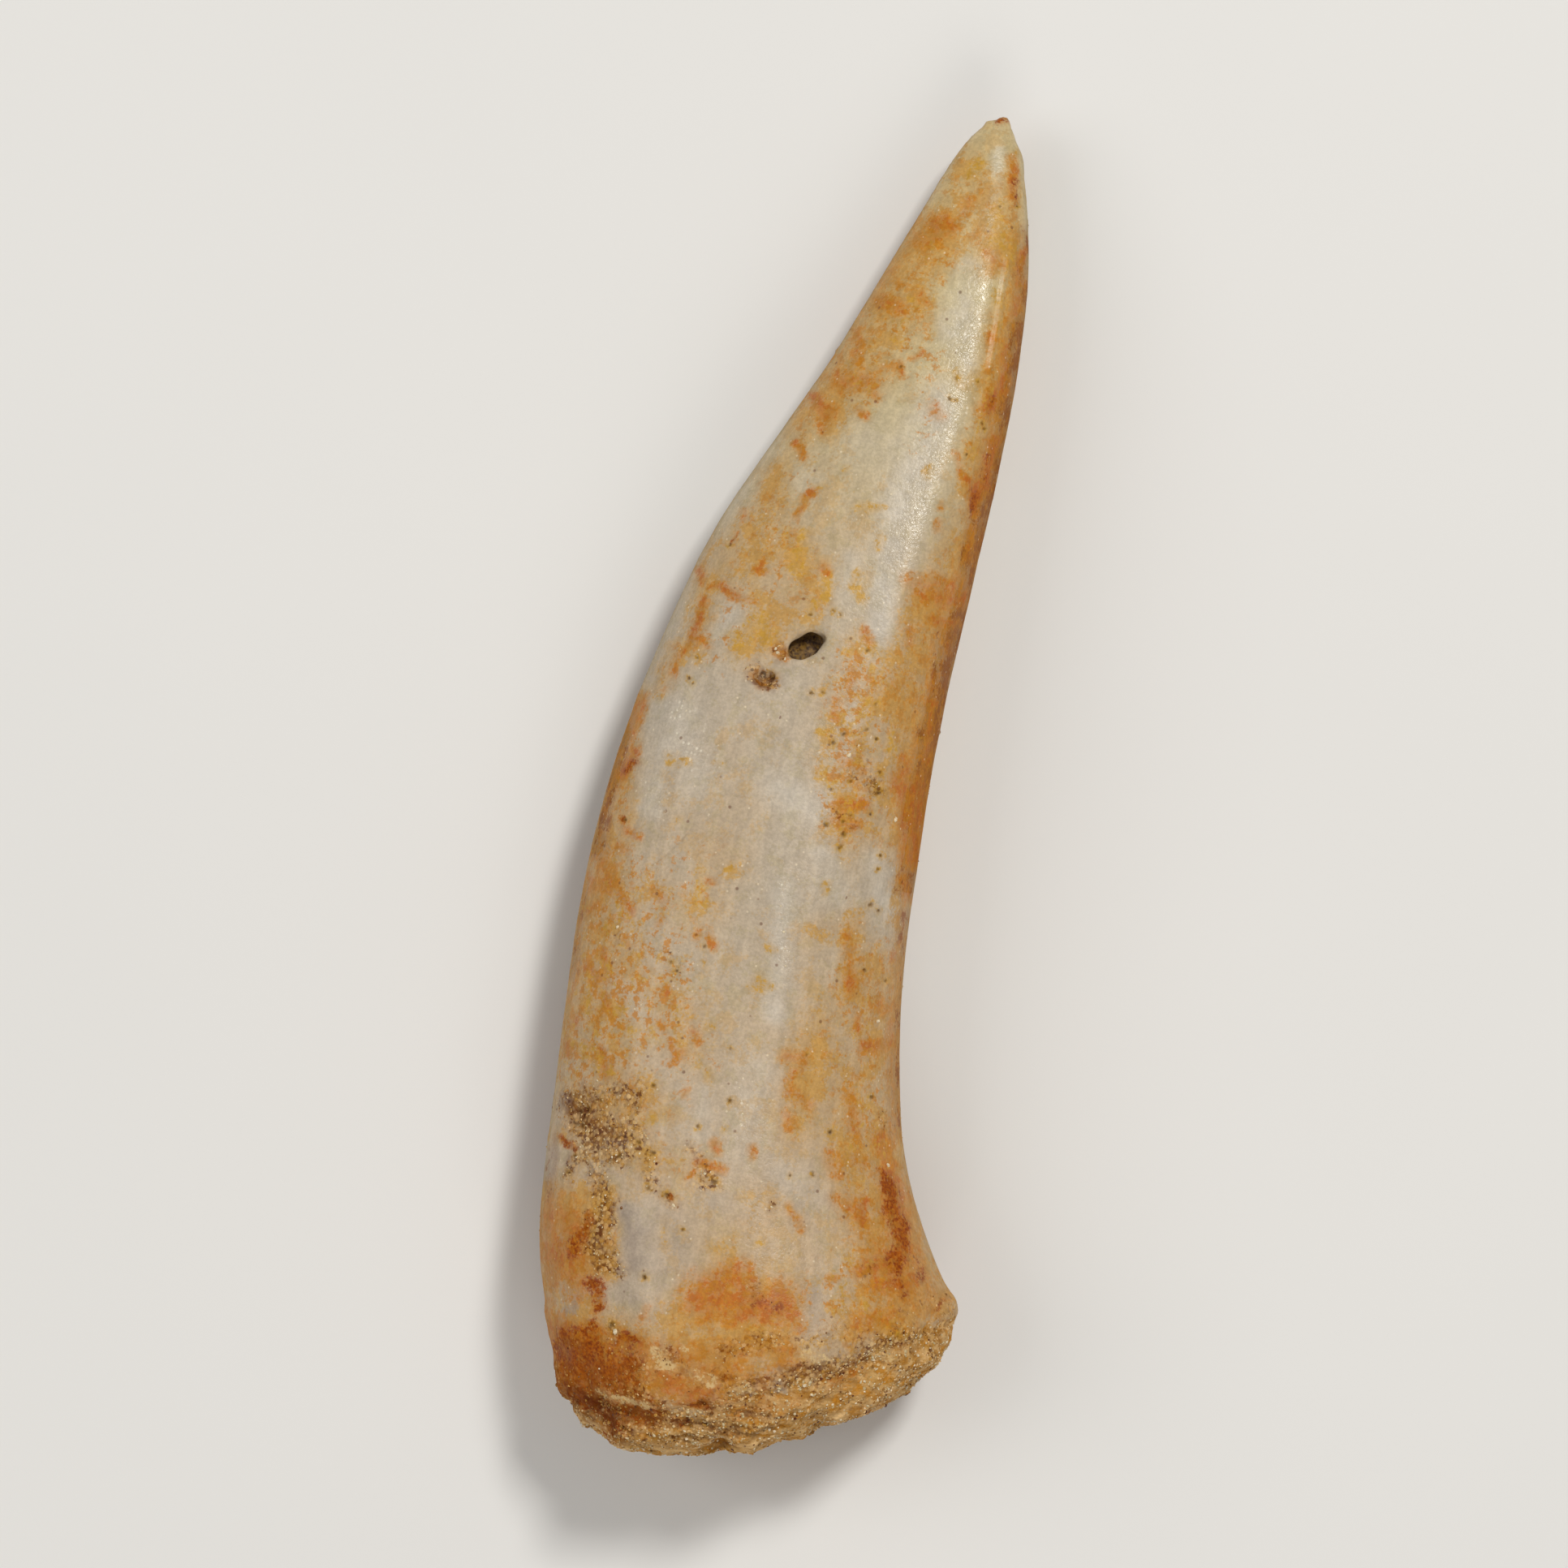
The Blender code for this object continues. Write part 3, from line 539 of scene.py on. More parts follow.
def refine(mesh):
    """Smaller faces at the pits, the pores and the crack, where the detail is finer than the rest."""
    shape = bmesh.new()
    shape.from_mesh(mesh)
    shape.verts.ensure_lookup_table()
    places = photo_place(np.array([vert.co for vert in shape.verts]) / MM)
    chosen = path_distance(places, CRACK) < CRACK_REFINED
    chosen |= path_distance(places, SIDE_RIDGE) < SIDE_RIDGE_REFINED
    for pit in PITS:
        chosen |= pit_reach(places, pit) < PIT_REFINED
    for x, y, radius in PORES:
        chosen |= spot_distance(places, x, y) < radius + PORE_REFINED
    chosen &= np.array([vert.normal.z for vert in shape.verts]) > 0.0
    edges = [edge for edge in shape.edges if chosen[edge.verts[0].index] and chosen[edge.verts[1].index]]
    bmesh.ops.subdivide_edges(shape, edges=edges, cuts=2, use_grid_fill=True)
    bmesh.ops.triangulate(shape, faces=[face for face in shape.faces if len(face.verts) > 4])
    shape.to_mesh(mesh)
    shape.free()


def darkness(places, fine_sway, pore_sway):
    """How dark the pits, the pores and the crack are, and how far ochre spreads round the pores."""
    dark = 0.16 * smooth_step(1.6, 0.2, path_distance(places, CRACK) / CRACK_HALF_WIDTH)
    for pit in PITS:
        reach = pit_reach(places + PIT_RIM_SWAY * fine_sway, pit)
        dark = np.maximum(dark, pit[6] * smooth_step(1.10, 0.70, reach))
    halo = np.zeros(len(places))
    for x, y, radius in PORES:
        reach = spot_distance(places + pore_sway, x, y) / radius
        dark = np.maximum(dark, 0.9 * smooth_step(1.15, 0.10, reach))
        halo = np.maximum(halo, 0.5 * smooth_step(2.8, 0.5, reach))
    return dark, halo


def surface_masks(points, normals):
    """Where each kind of stain, sand and break lies, one number from 0 to 1 for each point."""
    places = photo_place(points)
    broad_sway, fine_sway, tiny_sway = (sway(points, name) for name in ("broad", "fine", "tiny"))
    swayed = places + 5.0 * broad_sway + 3.0 * fine_sway
    sand_places = places + 4.0 * fine_sway + 3.0 * broad_sway
    upper = smooth_step(-0.25, 0.10, normals[:, 2])
    under = 1.0 - upper
    line_y = np.interp(points[:, 0], *zip(*ROOT_LINE)) + 0.30 * broad_sway[:, 0] + 0.12 * fine_sway[:, 0]
    past_line = points[:, 1] - line_y
    broken = smooth_step(0.40, -0.30, past_line)
    near_root = smooth_step(1.4, 0.0, past_line)
    toward_root = smooth_step(6.0, -16.0, points[:, 1])
    end_face = smooth_step(0.5, 3.0, points[:, 0])  # the right part of the break is smoother
    patch, blotch = field(points, "patch"), field(points, "blotch")

    # The upper face's strokes, and what the side that lies down has in their place.
    under_wash = under * smooth_step(-0.25, 0.55, patch + 0.3 * toward_root)
    under_ochre = under * 0.6 * smooth_step(0.25, 0.55, blotch)
    under_orange = under * smooth_step(0.15, 0.60, -blotch + 0.25 * toward_root)
    under_rust = under * toward_root * smooth_step(0.3, 0.7, patch - blotch)
    under_pale = under * 0.7 * smooth_step(0.05, 0.5, -patch)
    under_freckles = under * 0.5 * smooth_step(-0.2, 0.4, blotch)
    masks = {
        "wash": upper * stroke_cover(swayed, WASH, 2.0) + under_wash,
        "ochre": upper * stroke_cover(swayed, OCHRE) + under_ochre,
        "orange": upper * stroke_cover(swayed, ORANGE + ROOT_ORANGE) + under_orange,
        "rust": upper * stroke_cover(swayed, RUST) + under_rust,
        "pale": upper * stroke_cover(swayed, PALE_AND_HIGHLIGHT_STROKES, 2.0) + under_pale,
        # Stain along the margins, with painted shade.
        "edge": smooth_step(-0.15, 0.30, normals[:, 2]) * stroke_cover(swayed, MARGIN_STAIN_AND_SHADE),
        # Worn glossy facets, where glints are also painted.
        "gleam": upper * stroke_cover(swayed, GLEAM),
        "freckled": upper * stroke_cover(places, FRECKLES, 1.6) + under_freckles,
        "flake": upper * stroke_cover(swayed, FLAKES, 1.5),
        "broken": broken,
    }

    patches = upper * stroke_cover(sand_places, SAND + BAND, 1.7)
    end_patches = under * broken * smooth_step(-0.15, 0.35, field(points, "end_sand"))
    under_sand = under * smooth_step(0.42, 0.62, field(points, "under_sand") + 0.35 * toward_root)
    speckled = 0.45 * np.maximum(near_root, broken) * smooth_step(0.0, 0.45, field(points, "speckle"))
    sand = np.clip(np.maximum.reduce([patches, end_patches, under_sand, speckled]), 0.0, 1.0)
    dark, halo = darkness(places, fine_sway, 1.4 * fine_sway + 1.3 * tiny_sway)
    dusk_grit = smooth_step(-0.35, 0.25, field(points, "dusk_grit"))
    layers = field(points * LAYER_SCALE, "layers")
    masks["sand"] = sand
    # Painted shade in the hollows of the sand.
    masks["painted_shade"] = upper * stroke_cover(swayed, SHADED_HOLLOWS) * (0.35 + 0.65 * dusk_grit)
    masks["dark"] = upper * dark
    masks["ochre"] = np.maximum(masks["ochre"], upper * halo)
    # Painted light: how steeply the side falls away, which sets the grey-green of the margins.
    masks["rim"] = smooth_step(0.42, 0.10, np.abs(normals[:, 2])) * (1.0 - broken)
    # The break's hollows: sunk in the relief, and darkened there as painted shade.
    masks["hollow"] = smooth_step(0.0, -0.45, layers) * (1.0 - 0.6 * end_face)
    masks["grit"] = np.maximum(sand * (1.0 - 0.6 * masks["rust"]), broken * (1.0 - 0.65 * end_face))
    return masks


def surface_relief(points, normals, masks):
    """How far the fine surface stands out of the smooth one."""
    places = photo_place(points)
    upper = normals[:, 2] > 0.0
    fine_sway = sway(points, "fine")
    rough, gritty = field(points, "rough"), field(points, "gritty")
    toward_root = smooth_step(8.0, -14.0, points[:, 1])
    swell = SWELL_HEIGHT * field(points, "swell")
    ridges = (RIDGE_HEIGHT + RIDGE_HEIGHT_MORE * toward_root) * field(points * RIDGE_SCALE, "ridges")
    grain = GRAIN_HEIGHT * field(points, "grain")
    bed, crust_grains, clumps = CRUST_HEIGHTS
    crust = masks["sand"] * (bed + crust_grains * rough + clumps * field(points, "clumps"))
    drop, lumps, hollows, root_grains = ROOT_HEIGHTS
    root = drop + lumps * field(points, "lumps") + hollows * masks["hollow"] + root_grains * rough
    out = (swell + ridges + grain) * (1.0 - masks["broken"]) + crust + masks["broken"] * root
    coarse, fine = PIT_FLOOR_HEIGHTS
    for pit in PITS:
        bowl = smooth_step(1.08, 0.45, pit_reach(places + PIT_RIM_SWAY * fine_sway, pit))
        out += upper * bowl * (-pit[5] + coarse * rough + fine * gritty)
    for x, y, radius in PORES:
        reach = spot_distance(places + 1.4 * fine_sway, x, y) / radius
        out -= upper * PORE_DEPTH * smooth_step(1.2, 0.2, reach)
    ridge = path_distance(places, SIDE_RIDGE) / SIDE_RIDGE_HALF_WIDTH
    out += upper * SIDE_RIDGE_HEIGHT * smooth_step(1.6, 0.0, ridge)
    for x, y, radius, rise in OUTLINE_PLACES:
        out += rise * smooth_step(1.6, 0.0, spot_distance(places, x, y) / radius)
    crack = path_distance(places, CRACK) / CRACK_HALF_WIDTH
    return out - upper * CRACK_DEPTH * smooth_step(1.8, 0.3, crack)


def add_masks(mesh, masks):
    for name, values in masks.items():
        attribute = mesh.attributes.new(name, "FLOAT", "POINT")
        attribute.data.foreach_set("value", values.astype(np.float32))


class Shading:
    """A new material, and short names for the nodes that it is made of."""

    def __init__(self, name):
        self.material = bpy.data.materials.new(name)
        self.material.use_nodes = True
        self.tree = self.material.node_tree
        self.shader = self.tree.nodes["Principled BSDF"]

    def node(self, kind, settings=(), **inputs):
        """A node with its settings and inputs; an input that is a socket is linked."""
        item = self.tree.nodes.new(kind)
        for name, value in dict(settings).items():
            setattr(item, name, value)
        for name, value in inputs.items():
            socket = item.inputs[int(name[1:])] if name[1:].isdigit() else item.inputs[name]
            if isinstance(value, bpy.types.NodeSocket):
                self.tree.links.new(value, socket)
            else:
                socket.default_value = value
        return item

    def maths(self, operation, a, b):
        return self.node("ShaderNodeMath", {"operation": operation}, i0=a, i1=b).outputs[0]

    def times(self, a, b):
        return self.maths("MULTIPLY", a, b)

    def plus(self, a, b):
        return self.maths("ADD", a, b)

    def minus(self, a, b):
        return self.maths("SUBTRACT", a, b)

    def larger(self, a, b):
        return self.maths("MAXIMUM", a, b)

    def mix(self, factor, a, b, blend="MIX"):
        """Colour a turned into colour b by a factor. Either is a socket or a tone."""
        a, b = (linear(colour) if isinstance(colour, tuple) else colour for colour in (a, b))
        settings = {"data_type": "RGBA", "blend_type": blend}
        return self.node("ShaderNodeMix", settings, i0=factor, i6=a, i7=b).outputs[2]

    def coat(self, colour, tone, cover, weight):
        """A colour with a tone laid over it where the cover is high, no more of it than the weight."""
        return self.mix(self.times(cover, weight), colour, tone)

    def remap(self, value, low, high, to_low=0.0, to_high=1.0):
        settings = {"interpolation_type": "SMOOTHSTEP"}
        ends = {"i1": low, "i2": high, "i3": to_low, "i4": to_high}
        return self.node("ShaderNodeMapRange", settings, i0=value, **ends).outputs[0]

    def mask(self, name):
        return self.node("ShaderNodeAttribute", {"attribute_name": name}).outputs["Fac"]

    def millimetres(self, scale=(1.0, 1.0, 1.0), shift=0.0):
        """The place on the surface, in millimetres, drawn out along an axis where its scale is small."""
        place = self.node("ShaderNodeTexCoord").outputs["Object"]
        shifts = (shift, shift * 0.7, shift * 1.3)
        factor = tuple(part / MM for part in scale)
        return self.node("ShaderNodeMapping", Vector=place, Location=shifts, Scale=factor).outputs[0]

    def noise(self, place, size, detail=3.0, roughness=0.55):
        values = {"Scale": 1.0 / size, "Detail": detail, "Roughness": roughness}
        return self.node("ShaderNodeTexNoise", Vector=place, **values).outputs["Fac"]

    def wide_noise(self, place, size, detail=3.0, roughness=0.55):
        """Noise drawn out to the whole range from 0 to 1."""
        return self.remap(self.noise(place, size, detail, roughness), 0.34, 0.66)

    def cells(self, place, size):
        """Round cells of that size: how far a place is from its cell's middle, and the cell's colour."""
        cell = self.node("ShaderNodeTexVoronoi", Vector=place, Scale=1.0 / size)
        return cell.outputs["Distance"], cell.outputs["Color"]

    def own_number(self, cell_colour):
        """A number from 0 to 1 that is each cell's own."""
        return self.node("ShaderNodeSeparateColor", Color=cell_colour).outputs[0]

    def mottle(self, size, shift):
        """Noise from 0 to 1 with dusty, ragged lumps, its own for each shift."""
        place = self.millimetres(shift=shift)
        lumps = self.noise(place, size, 5.0, 0.60)
        dust = self.noise(place, 0.085, 2.0, 0.6)
        return self.remap(self.plus(self.times(lumps, 0.70), self.times(dust, 0.30)), 0.36, 0.64)

    def stain(self, cover, grains, veil=0.45, low=0.98, high=1.46):
        """A stain's strength: a thin veil with crisp grains in it, more of them where its cover is high."""
        dense = self.remap(self.plus(cover, self.times(grains, 1.2)), low, high)
        near = self.remap(cover, 0.03, 0.30)
        return self.larger(self.times(cover, veil), self.times(dense, near))

    def dots(self, place, size, share, reach=0.30):
        """Small round dots in a share of the cells of that size."""
        distance, cell_colour = self.cells(place, size)
        chosen = self.maths("LESS_THAN", self.own_number(cell_colour), share)
        return self.times(chosen, self.remap(distance, reach, reach * 0.5))

    def link(self, socket, name):
        self.tree.links.new(socket, self.shader.inputs[name])

    def set_body(self, ior, reflection, scatter, scatter_depth):
        """What is the same all over: how the body bends, reflects and scatters light."""
        values = {"IOR": ior, "Specular IOR Level": reflection, "Subsurface Weight": scatter}
        values.update({"Subsurface Radius": (1.0, 0.8, 0.6), "Subsurface Scale": scatter_depth * MM})
        for name, value in values.items():
            self.shader.inputs[name].default_value = value


def sand_colour(s, place):
    """The colour of packed sand: a patch's tone, then each grain's own, with painted shade at each grain's
    edge.
    """
    distance, cell_colour = s.cells(place, 0.11)
    own = s.own_number(cell_colour)
    ground = s.mix(s.wide_noise(place, 0.9), SAND_MIDDLE, TAN)
    light = s.mix(s.remap(own, 0.55, 1.0), ground, SAND_LIGHT)
    sand = s.mix(s.remap(own, 0.38, 0.08), light, SAND_DARK)
    # Painted shade: darker towards each cell's edge, where the bump sinks between the grains.
    return s.coat(sand, SAND_DARK, s.remap(distance, 0.42, 0.75), 0.55)


def root_colour(s, fine, middle):
    """The broken root: layers of tan and cream with rusty veins, and painted shade in the hollows."""
    layers = s.wide_noise(s.millimetres((0.30, 1.0, 1.0)), 0.26, 4.0, 0.65)
    colour = s.coat(s.mix(layers, SAND_MIDDLE, SAND_LIGHT), TAN, middle, 0.45)
    veins = s.remap(s.minus(s.plus(middle, fine), layers), 0.65, 1.4)
    colour = s.coat(colour, ORANGE_TONE, veins, 0.60)
    # Painted shade in the hollows that the relief sinks into the break.
    hollow_shade = s.times(s.mask("hollow"), s.remap(fine, 0.0, 1.0, 1.0, 0.35))
    return s.coat(colour, SAND_DARK, hollow_shade, 0.65)


def tooth_material(name, reflection):
    """Ivory enamel stained in layers from a tan wash to rust, the broken root, and sand crusted on both."""
    s = Shading(name)
    place = s.millimetres()
    height = s.node("ShaderNodeSeparateXYZ", Vector=place).outputs["Y"]
    broad = s.wide_noise(place, 4.0)
    middle = s.wide_noise(place, 1.0, 5.0)
    fine = s.wide_noise(place, 0.26, 4.0, 0.65)
    dusty = s.wide_noise(place, 0.085, 2.0, 0.6)
    streak = s.wide_noise(s.millimetres((1.0, 0.10, 1.0)), 0.30)
    pale_and_highlight_cover, rust_cover, rim, grit, gleam = (s.mask(n) for n in ("pale", "rust", "rim", "grit", "gleam"))
    clean = s.minus(1.0, pale_and_highlight_cover)
    washed = s.larger(s.mask("wash"), s.times(s.mask("orange"), 0.60))
    wash_cover = s.times(washed, s.minus(1.0, s.times(pale_and_highlight_cover, 0.75)))
    orange_cover = s.larger(s.mask("orange"), s.times(rust_cover, 0.85))

    # The bare enamel: cream at the tip, buff at the root, with pale patches, a painted highlight along the
    # crest and painted light on the steep sides.
    ground = s.mix(s.remap(height, 2.0, 15.0), IVORY, CREAM)
    ground = s.mix(s.remap(height, -3.0, -12.0), ground, BUFF)
    ground = s.coat(ground, TAN, s.times(broad, clean), 0.14)
    ground = s.coat(ground, GREEN_GREY, s.remap(s.mottle(0.55, 31.0), 0.55, 0.95), 0.30)
    pale = s.times(pale_and_highlight_cover, s.remap(middle, 0.0, 1.0, 0.45, 1.0))
    # Pale patches, and along the crest a painted highlight.
    ground = s.coat(ground, s.mix(s.remap(height, -9.5, -13.0), PALE_AND_HIGHLIGHT_WHITE, LILAC), pale, 0.85)
    # Painted light: the steep sides are tinted grey-green where the light falls off and shines through the
    # thin margins.
    ground = s.coat(ground, GREEN_GREY, rim, 0.35)

    # The stains in its skin.
    haze_cover = s.times(clean, s.remap(broad, 0.0, 1.0, 0.16, 0.50))
    colour = s.coat(ground, WASH_TONE, s.stain(haze_cover, s.mottle(0.70, 5.0), 0.35), 0.40)
    wash = s.stain(wash_cover, s.mottle(0.70, 13.0), 0.85)
    colour = s.coat(colour, s.coat(WASH_TONE, TAN, wash_cover, 0.75), wash, 0.90)
    # Along the margins: orange-brown stain, deepened as painted shade.
    colour = s.coat(colour, MARGIN_STAIN_AND_SHADE_TONE, s.stain(s.mask("edge"), s.mottle(0.60, 23.0), 0.80), 0.92)
    clumps = s.stain(s.times(wash_cover, 0.50), s.mottle(0.32, 43.0), 0.15, 0.98, 1.50)
    colour = s.coat(colour, ORANGE_TONE, clumps, 0.55)
    ochre = s.stain(s.mask("ochre"), s.mottle(0.22, 59.0), 0.66, 0.78, 1.60)
    colour = s.coat(colour, OCHRE_TONE, ochre, 0.85)
    orange = s.stain(orange_cover, s.mottle(0.30, 71.0), 0.72, 0.66, 1.72)
    core = s.remap(s.plus(orange_cover, s.times(fine, 0.9)), 0.70, 1.75)
    colour = s.coat(colour, s.mix(core, ORANGE_TONE, ORANGE_DEEP), orange, 0.90)
    freckled = s.mask("freckled")
    for size, shift, low, tone in ((0.42, 107.0, 1.42, OCHRE_TONE), (0.30, 127.0, 1.30, ORANGE_TONE)):
        freckles = s.stain(freckled, s.mottle(size, shift), 0.0, low, low + 0.34)
        colour = s.coat(colour, tone, freckles, 0.80)

    # The break, the rust on it and on the enamel, and specks: dark ones, and pale ones that are partly pale
    # grains and partly painted glints.
    ragged = s.plus(s.mask("broken"), s.remap(fine, 0.0, 1.0, -0.30, 0.30))
    broken = s.remap(ragged, 0.30, 0.75)
    bare_root = s.times(broken, s.remap(orange, 0.0, 1.0, 1.0, 0.25))
    colour = s.mix(bare_root, colour, root_colour(s, fine, middle))
    rust = s.stain(rust_cover, s.mottle(0.34, 83.0), 0.66, 0.74, 1.50)
    colour = s.coat(colour, s.mix(dusty, RUST_DEEP, RUST_TONE), rust, 0.96)
    colour = s.coat(colour, SAND_DARK, s.dots(place, 0.21, 0.025), 0.55)
    pale_specks_and_glints = s.times(s.minus(1.0, rust_cover), s.dots(place, 0.13, 0.045))
    colour = s.coat(colour, GRAIN_WHITE, pale_specks_and_glints, 0.50)
    for shade, depth in ((streak, 0.05), (fine, 0.05), (dusty, 0.06)):
        colour = s.mix(1.0, colour, s.remap(shade, 0.0, 1.0, 1.0 - depth, 1.0 + depth), "MULTIPLY")

    # Sand and flakes on all of it, painted glints on the sparkling facets and the grit, painted shade in
    # the sand's hollows, and the dark places.
    sand = s.stain(s.mask("sand"), s.mottle(0.20, 97.0), 0.70, 1.02, 1.50)
    rusty = s.larger(rust_cover, s.times(orange_cover, 0.7))
    colour = s.coat(colour, s.coat(sand_colour(s, place), RUST_TONE, rusty, 0.80), sand, 0.80)
    flakes = s.stain(s.mask("flake"), s.mottle(0.20, 113.0), 0.50, 0.80, 1.50)
    colour = s.coat(colour, FLAKE_TONE, flakes, 0.80)
    # Pale grains and painted glints on the grit, then dark specks.
    colour = s.coat(colour, SAND_LIGHT, s.times(grit, s.dots(place, 0.15, 0.10, 0.36)), 0.75)
    colour = s.coat(colour, PORE_TONE, s.times(grit, s.dots(place, 0.17, 0.14, 0.38)), 0.75)
    # Painted glints: bright dots on the gleaming crest and pale patch.
    painted_glint_cover = s.times(gleam, s.remap(fine, 0.25, 0.65, 0.15, 1.0))
    colour = s.coat(colour, PAINTED_GLINT, s.times(painted_glint_cover, s.dots(place, 0.12, 0.30, 0.42)), 0.70)
    # Painted shade in the hollows of the sand.
    colour = s.coat(colour, PAINTED_SHADE_TONE, s.mask("painted_shade"), 0.95)
    dark = s.times(s.mask("dark"), s.remap(fine, 0.0, 1.0, 1.0, 0.85))
    colour = s.mix(dark, colour, s.mix(s.wide_noise(place, 0.12), PORE_TONE, OLIVE))
    s.link(colour, "Base Color")

    gritty = s.larger(sand, broken)
    gloss = s.minus(s.remap(middle, 0.0, 1.0, 0.30, 0.42), s.times(gleam, 0.16))
    rough = s.plus(s.plus(gloss, s.times(rim, 0.30)), s.times(wash, 0.08))
    s.link(s.plus(rough, s.times(s.larger(gritty, dark), 0.45)), "Roughness")

    relief = s.plus(s.plus(s.times(fine, 0.14), s.times(streak, 0.06)), s.times(dusty, 0.17))
    worn = s.plus(s.times(s.cells(place, 0.13)[0], 0.34), s.times(dusty, 0.20))
    grains = s.minus(s.times(fine, 0.9), s.cells(place, 0.11)[0])
    relief = s.plus(relief, s.times(gleam, worn))
    relief = s.plus(relief, s.times(s.times(grains, gritty), 1.3))
    bump = s.node("ShaderNodeBump", Height=relief, Strength=0.6, Distance=0.030 * MM)
    s.link(bump.outputs[0], "Normal")
    s.set_body(1.50, reflection, 0.04, 0.25)
    return s.material


def grain_material():
    """Loose-looking grains: honey, cream, grey and brown quartz and phosphate."""
    s = Shading("sand_grains")
    ramp = s.node("ShaderNodeValToRGB", Fac=s.mask("tone"))
    stops = ((0.0, SAND_DARK), (0.22, TAN), (0.5, SAND_LIGHT), (0.78, CREAM), (1.0, GRAIN_WHITE))
    while len(ramp.color_ramp.elements) < len(stops):
        ramp.color_ramp.elements.new(0.5)
    for element, (position, colour) in zip(ramp.color_ramp.elements, stops):
        element.position = position
        element.color = linear(colour)
    fine = s.noise(s.millimetres(), 0.06, 2.0)
    s.link(s.mix(1.0, ramp.outputs[0], s.remap(fine, 0.3, 0.7, 0.80, 1.10), "MULTIPLY"), "Base Color")
    s.link(s.remap(fine, 0.3, 0.7, 0.22, 0.45), "Roughness")
    s.set_body(1.55, 0.25, 0.10, 0.06)
    return s.material


def floor_material():
    s = Shading("pale_floor")
    shade = s.remap(s.noise(s.millimetres(), 30.0), 0.3, 0.7, 0.985, 1.0)
    s.link(s.mix(1.0, FLOOR_TONE, shade, "MULTIPLY"), "Base Color")
    s.shader.inputs["Roughness"].default_value = 0.9
    return s.material


def set_second_material(mesh, chosen):
    """Gives the mesh's second material to the faces with most of their corners among the chosen points."""
    corners = read_numbers(mesh.loops, "vertex_index", kind=np.int64)
    starts = read_numbers(mesh.polygons, "loop_start", kind=np.int64)
    totals = read_numbers(mesh.polygons, "loop_total", kind=np.int64)
    shares = np.add.reduceat(chosen[corners].astype(float), starts) / totals
    mesh.polygons.foreach_set("material_index", (shares > 0.5).astype(np.int32))


def fang_surface():
    """The whole skin of the fang, with every pit, pore, ridge and crust as real relief."""
    mesh = even_mesh(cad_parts["fang"])
    edges = read_numbers(mesh.edges, "vertices", 2, np.int64)
    set_points(mesh, smoothed(points_of(mesh), edges))
    refine(mesh)
    points, normals = points_of(mesh), normals_of(mesh)
    masks = surface_masks(points, normals)
    points = points + normals * surface_relief(points, normals, masks)[:, None]
    points[:, 2] = np.maximum(points[:, 2], 0.0)
    set_points(mesh, points)
    add_masks(mesh, masks)
    mesh.materials.append(tooth_material("stained_tooth", ENAMEL_REFLECTION))
    mesh.materials.append(tooth_material("matt_tooth", MATT_REFLECTION))
    set_second_material(mesh, np.maximum.reduce([masks[name] for name in MATT_PLACES]) > MATT_FROM)
    mesh.shade_smooth()
    return place_object("fang_surface", mesh), masks


def icosahedron():
    shape = bmesh.new()
    bmesh.ops.create_icosphere(shape, subdivisions=1, radius=1.0)
    points = np.array([vert.co for vert in shape.verts])
    faces = np.array([[vert.index for vert in face.verts] for face in shape.faces])
    shape.free()
    return points, faces


def turned(draws):
    """A random turn as a 3 x 3 array, the same each run."""
    axis = Vector(draws.normal(size=3)).normalized()
    return np.array(Matrix.Rotation(draws.uniform(0.0, 2.0 * math.pi), 3, axis))


def grains_mesh(name, sites, draws):
    """One joined mesh of angular grains. Each site is a point, a normal, a radius and a tone."""
    ball, faces = icosahedron()
    all_points, all_faces, tones = [], [], []
    for number, (point, normal, radius, tone) in enumerate(sites):
        squash = draws.uniform(0.45, 1.25, 3)
        shape = (ball * draws.uniform(0.82, 1.12, (len(ball), 1)) * squash) @ turned(draws).T
        all_points.append(point + normal * radius * GRAIN_SINK + radius * shape)
        all_faces.append(faces + number * len(ball))
        tones.append(np.full(len(ball), tone))
    points = np.concatenate(all_points)
    points[:, 2] = np.maximum(points[:, 2], 0.0)
    mesh = bpy.data.meshes.new(name)
    mesh.from_pydata((points * MM).tolist(), [], np.concatenate(all_faces).tolist())
    add_masks(mesh, {"tone": np.concatenate(tones)})
    mesh.materials.append(grain_material())
    return place_object(name, mesh)


def scatter(surface, weights, stained, count, draws, radii):
    """Sites for grains, more of them where the surface's weight is high, darker on stains and in painted
    shade.
    """
    mesh = surface.data
    mesh.calc_loop_triangles()
    corners = read_numbers(mesh.loop_triangles, "vertices", 3, np.int64)
    points, normals = points_of(mesh), normals_of(mesh)
    a, b, c = (points[corners[:, k]] for k in range(3))
    area = np.linalg.norm(np.cross(b - a, c - a), axis=1) / 2.0
    chance = area * weights[corners].mean(axis=1)
    chosen = corners[draws.choice(len(corners), size=count, p=chance / chance.sum())]
    shares = draws.dirichlet((1.0, 1.0, 1.0), size=count)[:, :, None]
    places = (points[chosen] * shares).sum(axis=1)
    directions = (normals[chosen] * shares).sum(axis=1)
    small, large = radii
    sizes = small + (large - small) * draws.beta(1.6, 3.0, size=count)
    tones = draws.beta(0.8, 0.7, size=count) * (1.0 - 0.75 * stained[chosen].mean(axis=1))
    return list(zip(places, directions, sizes, tones))


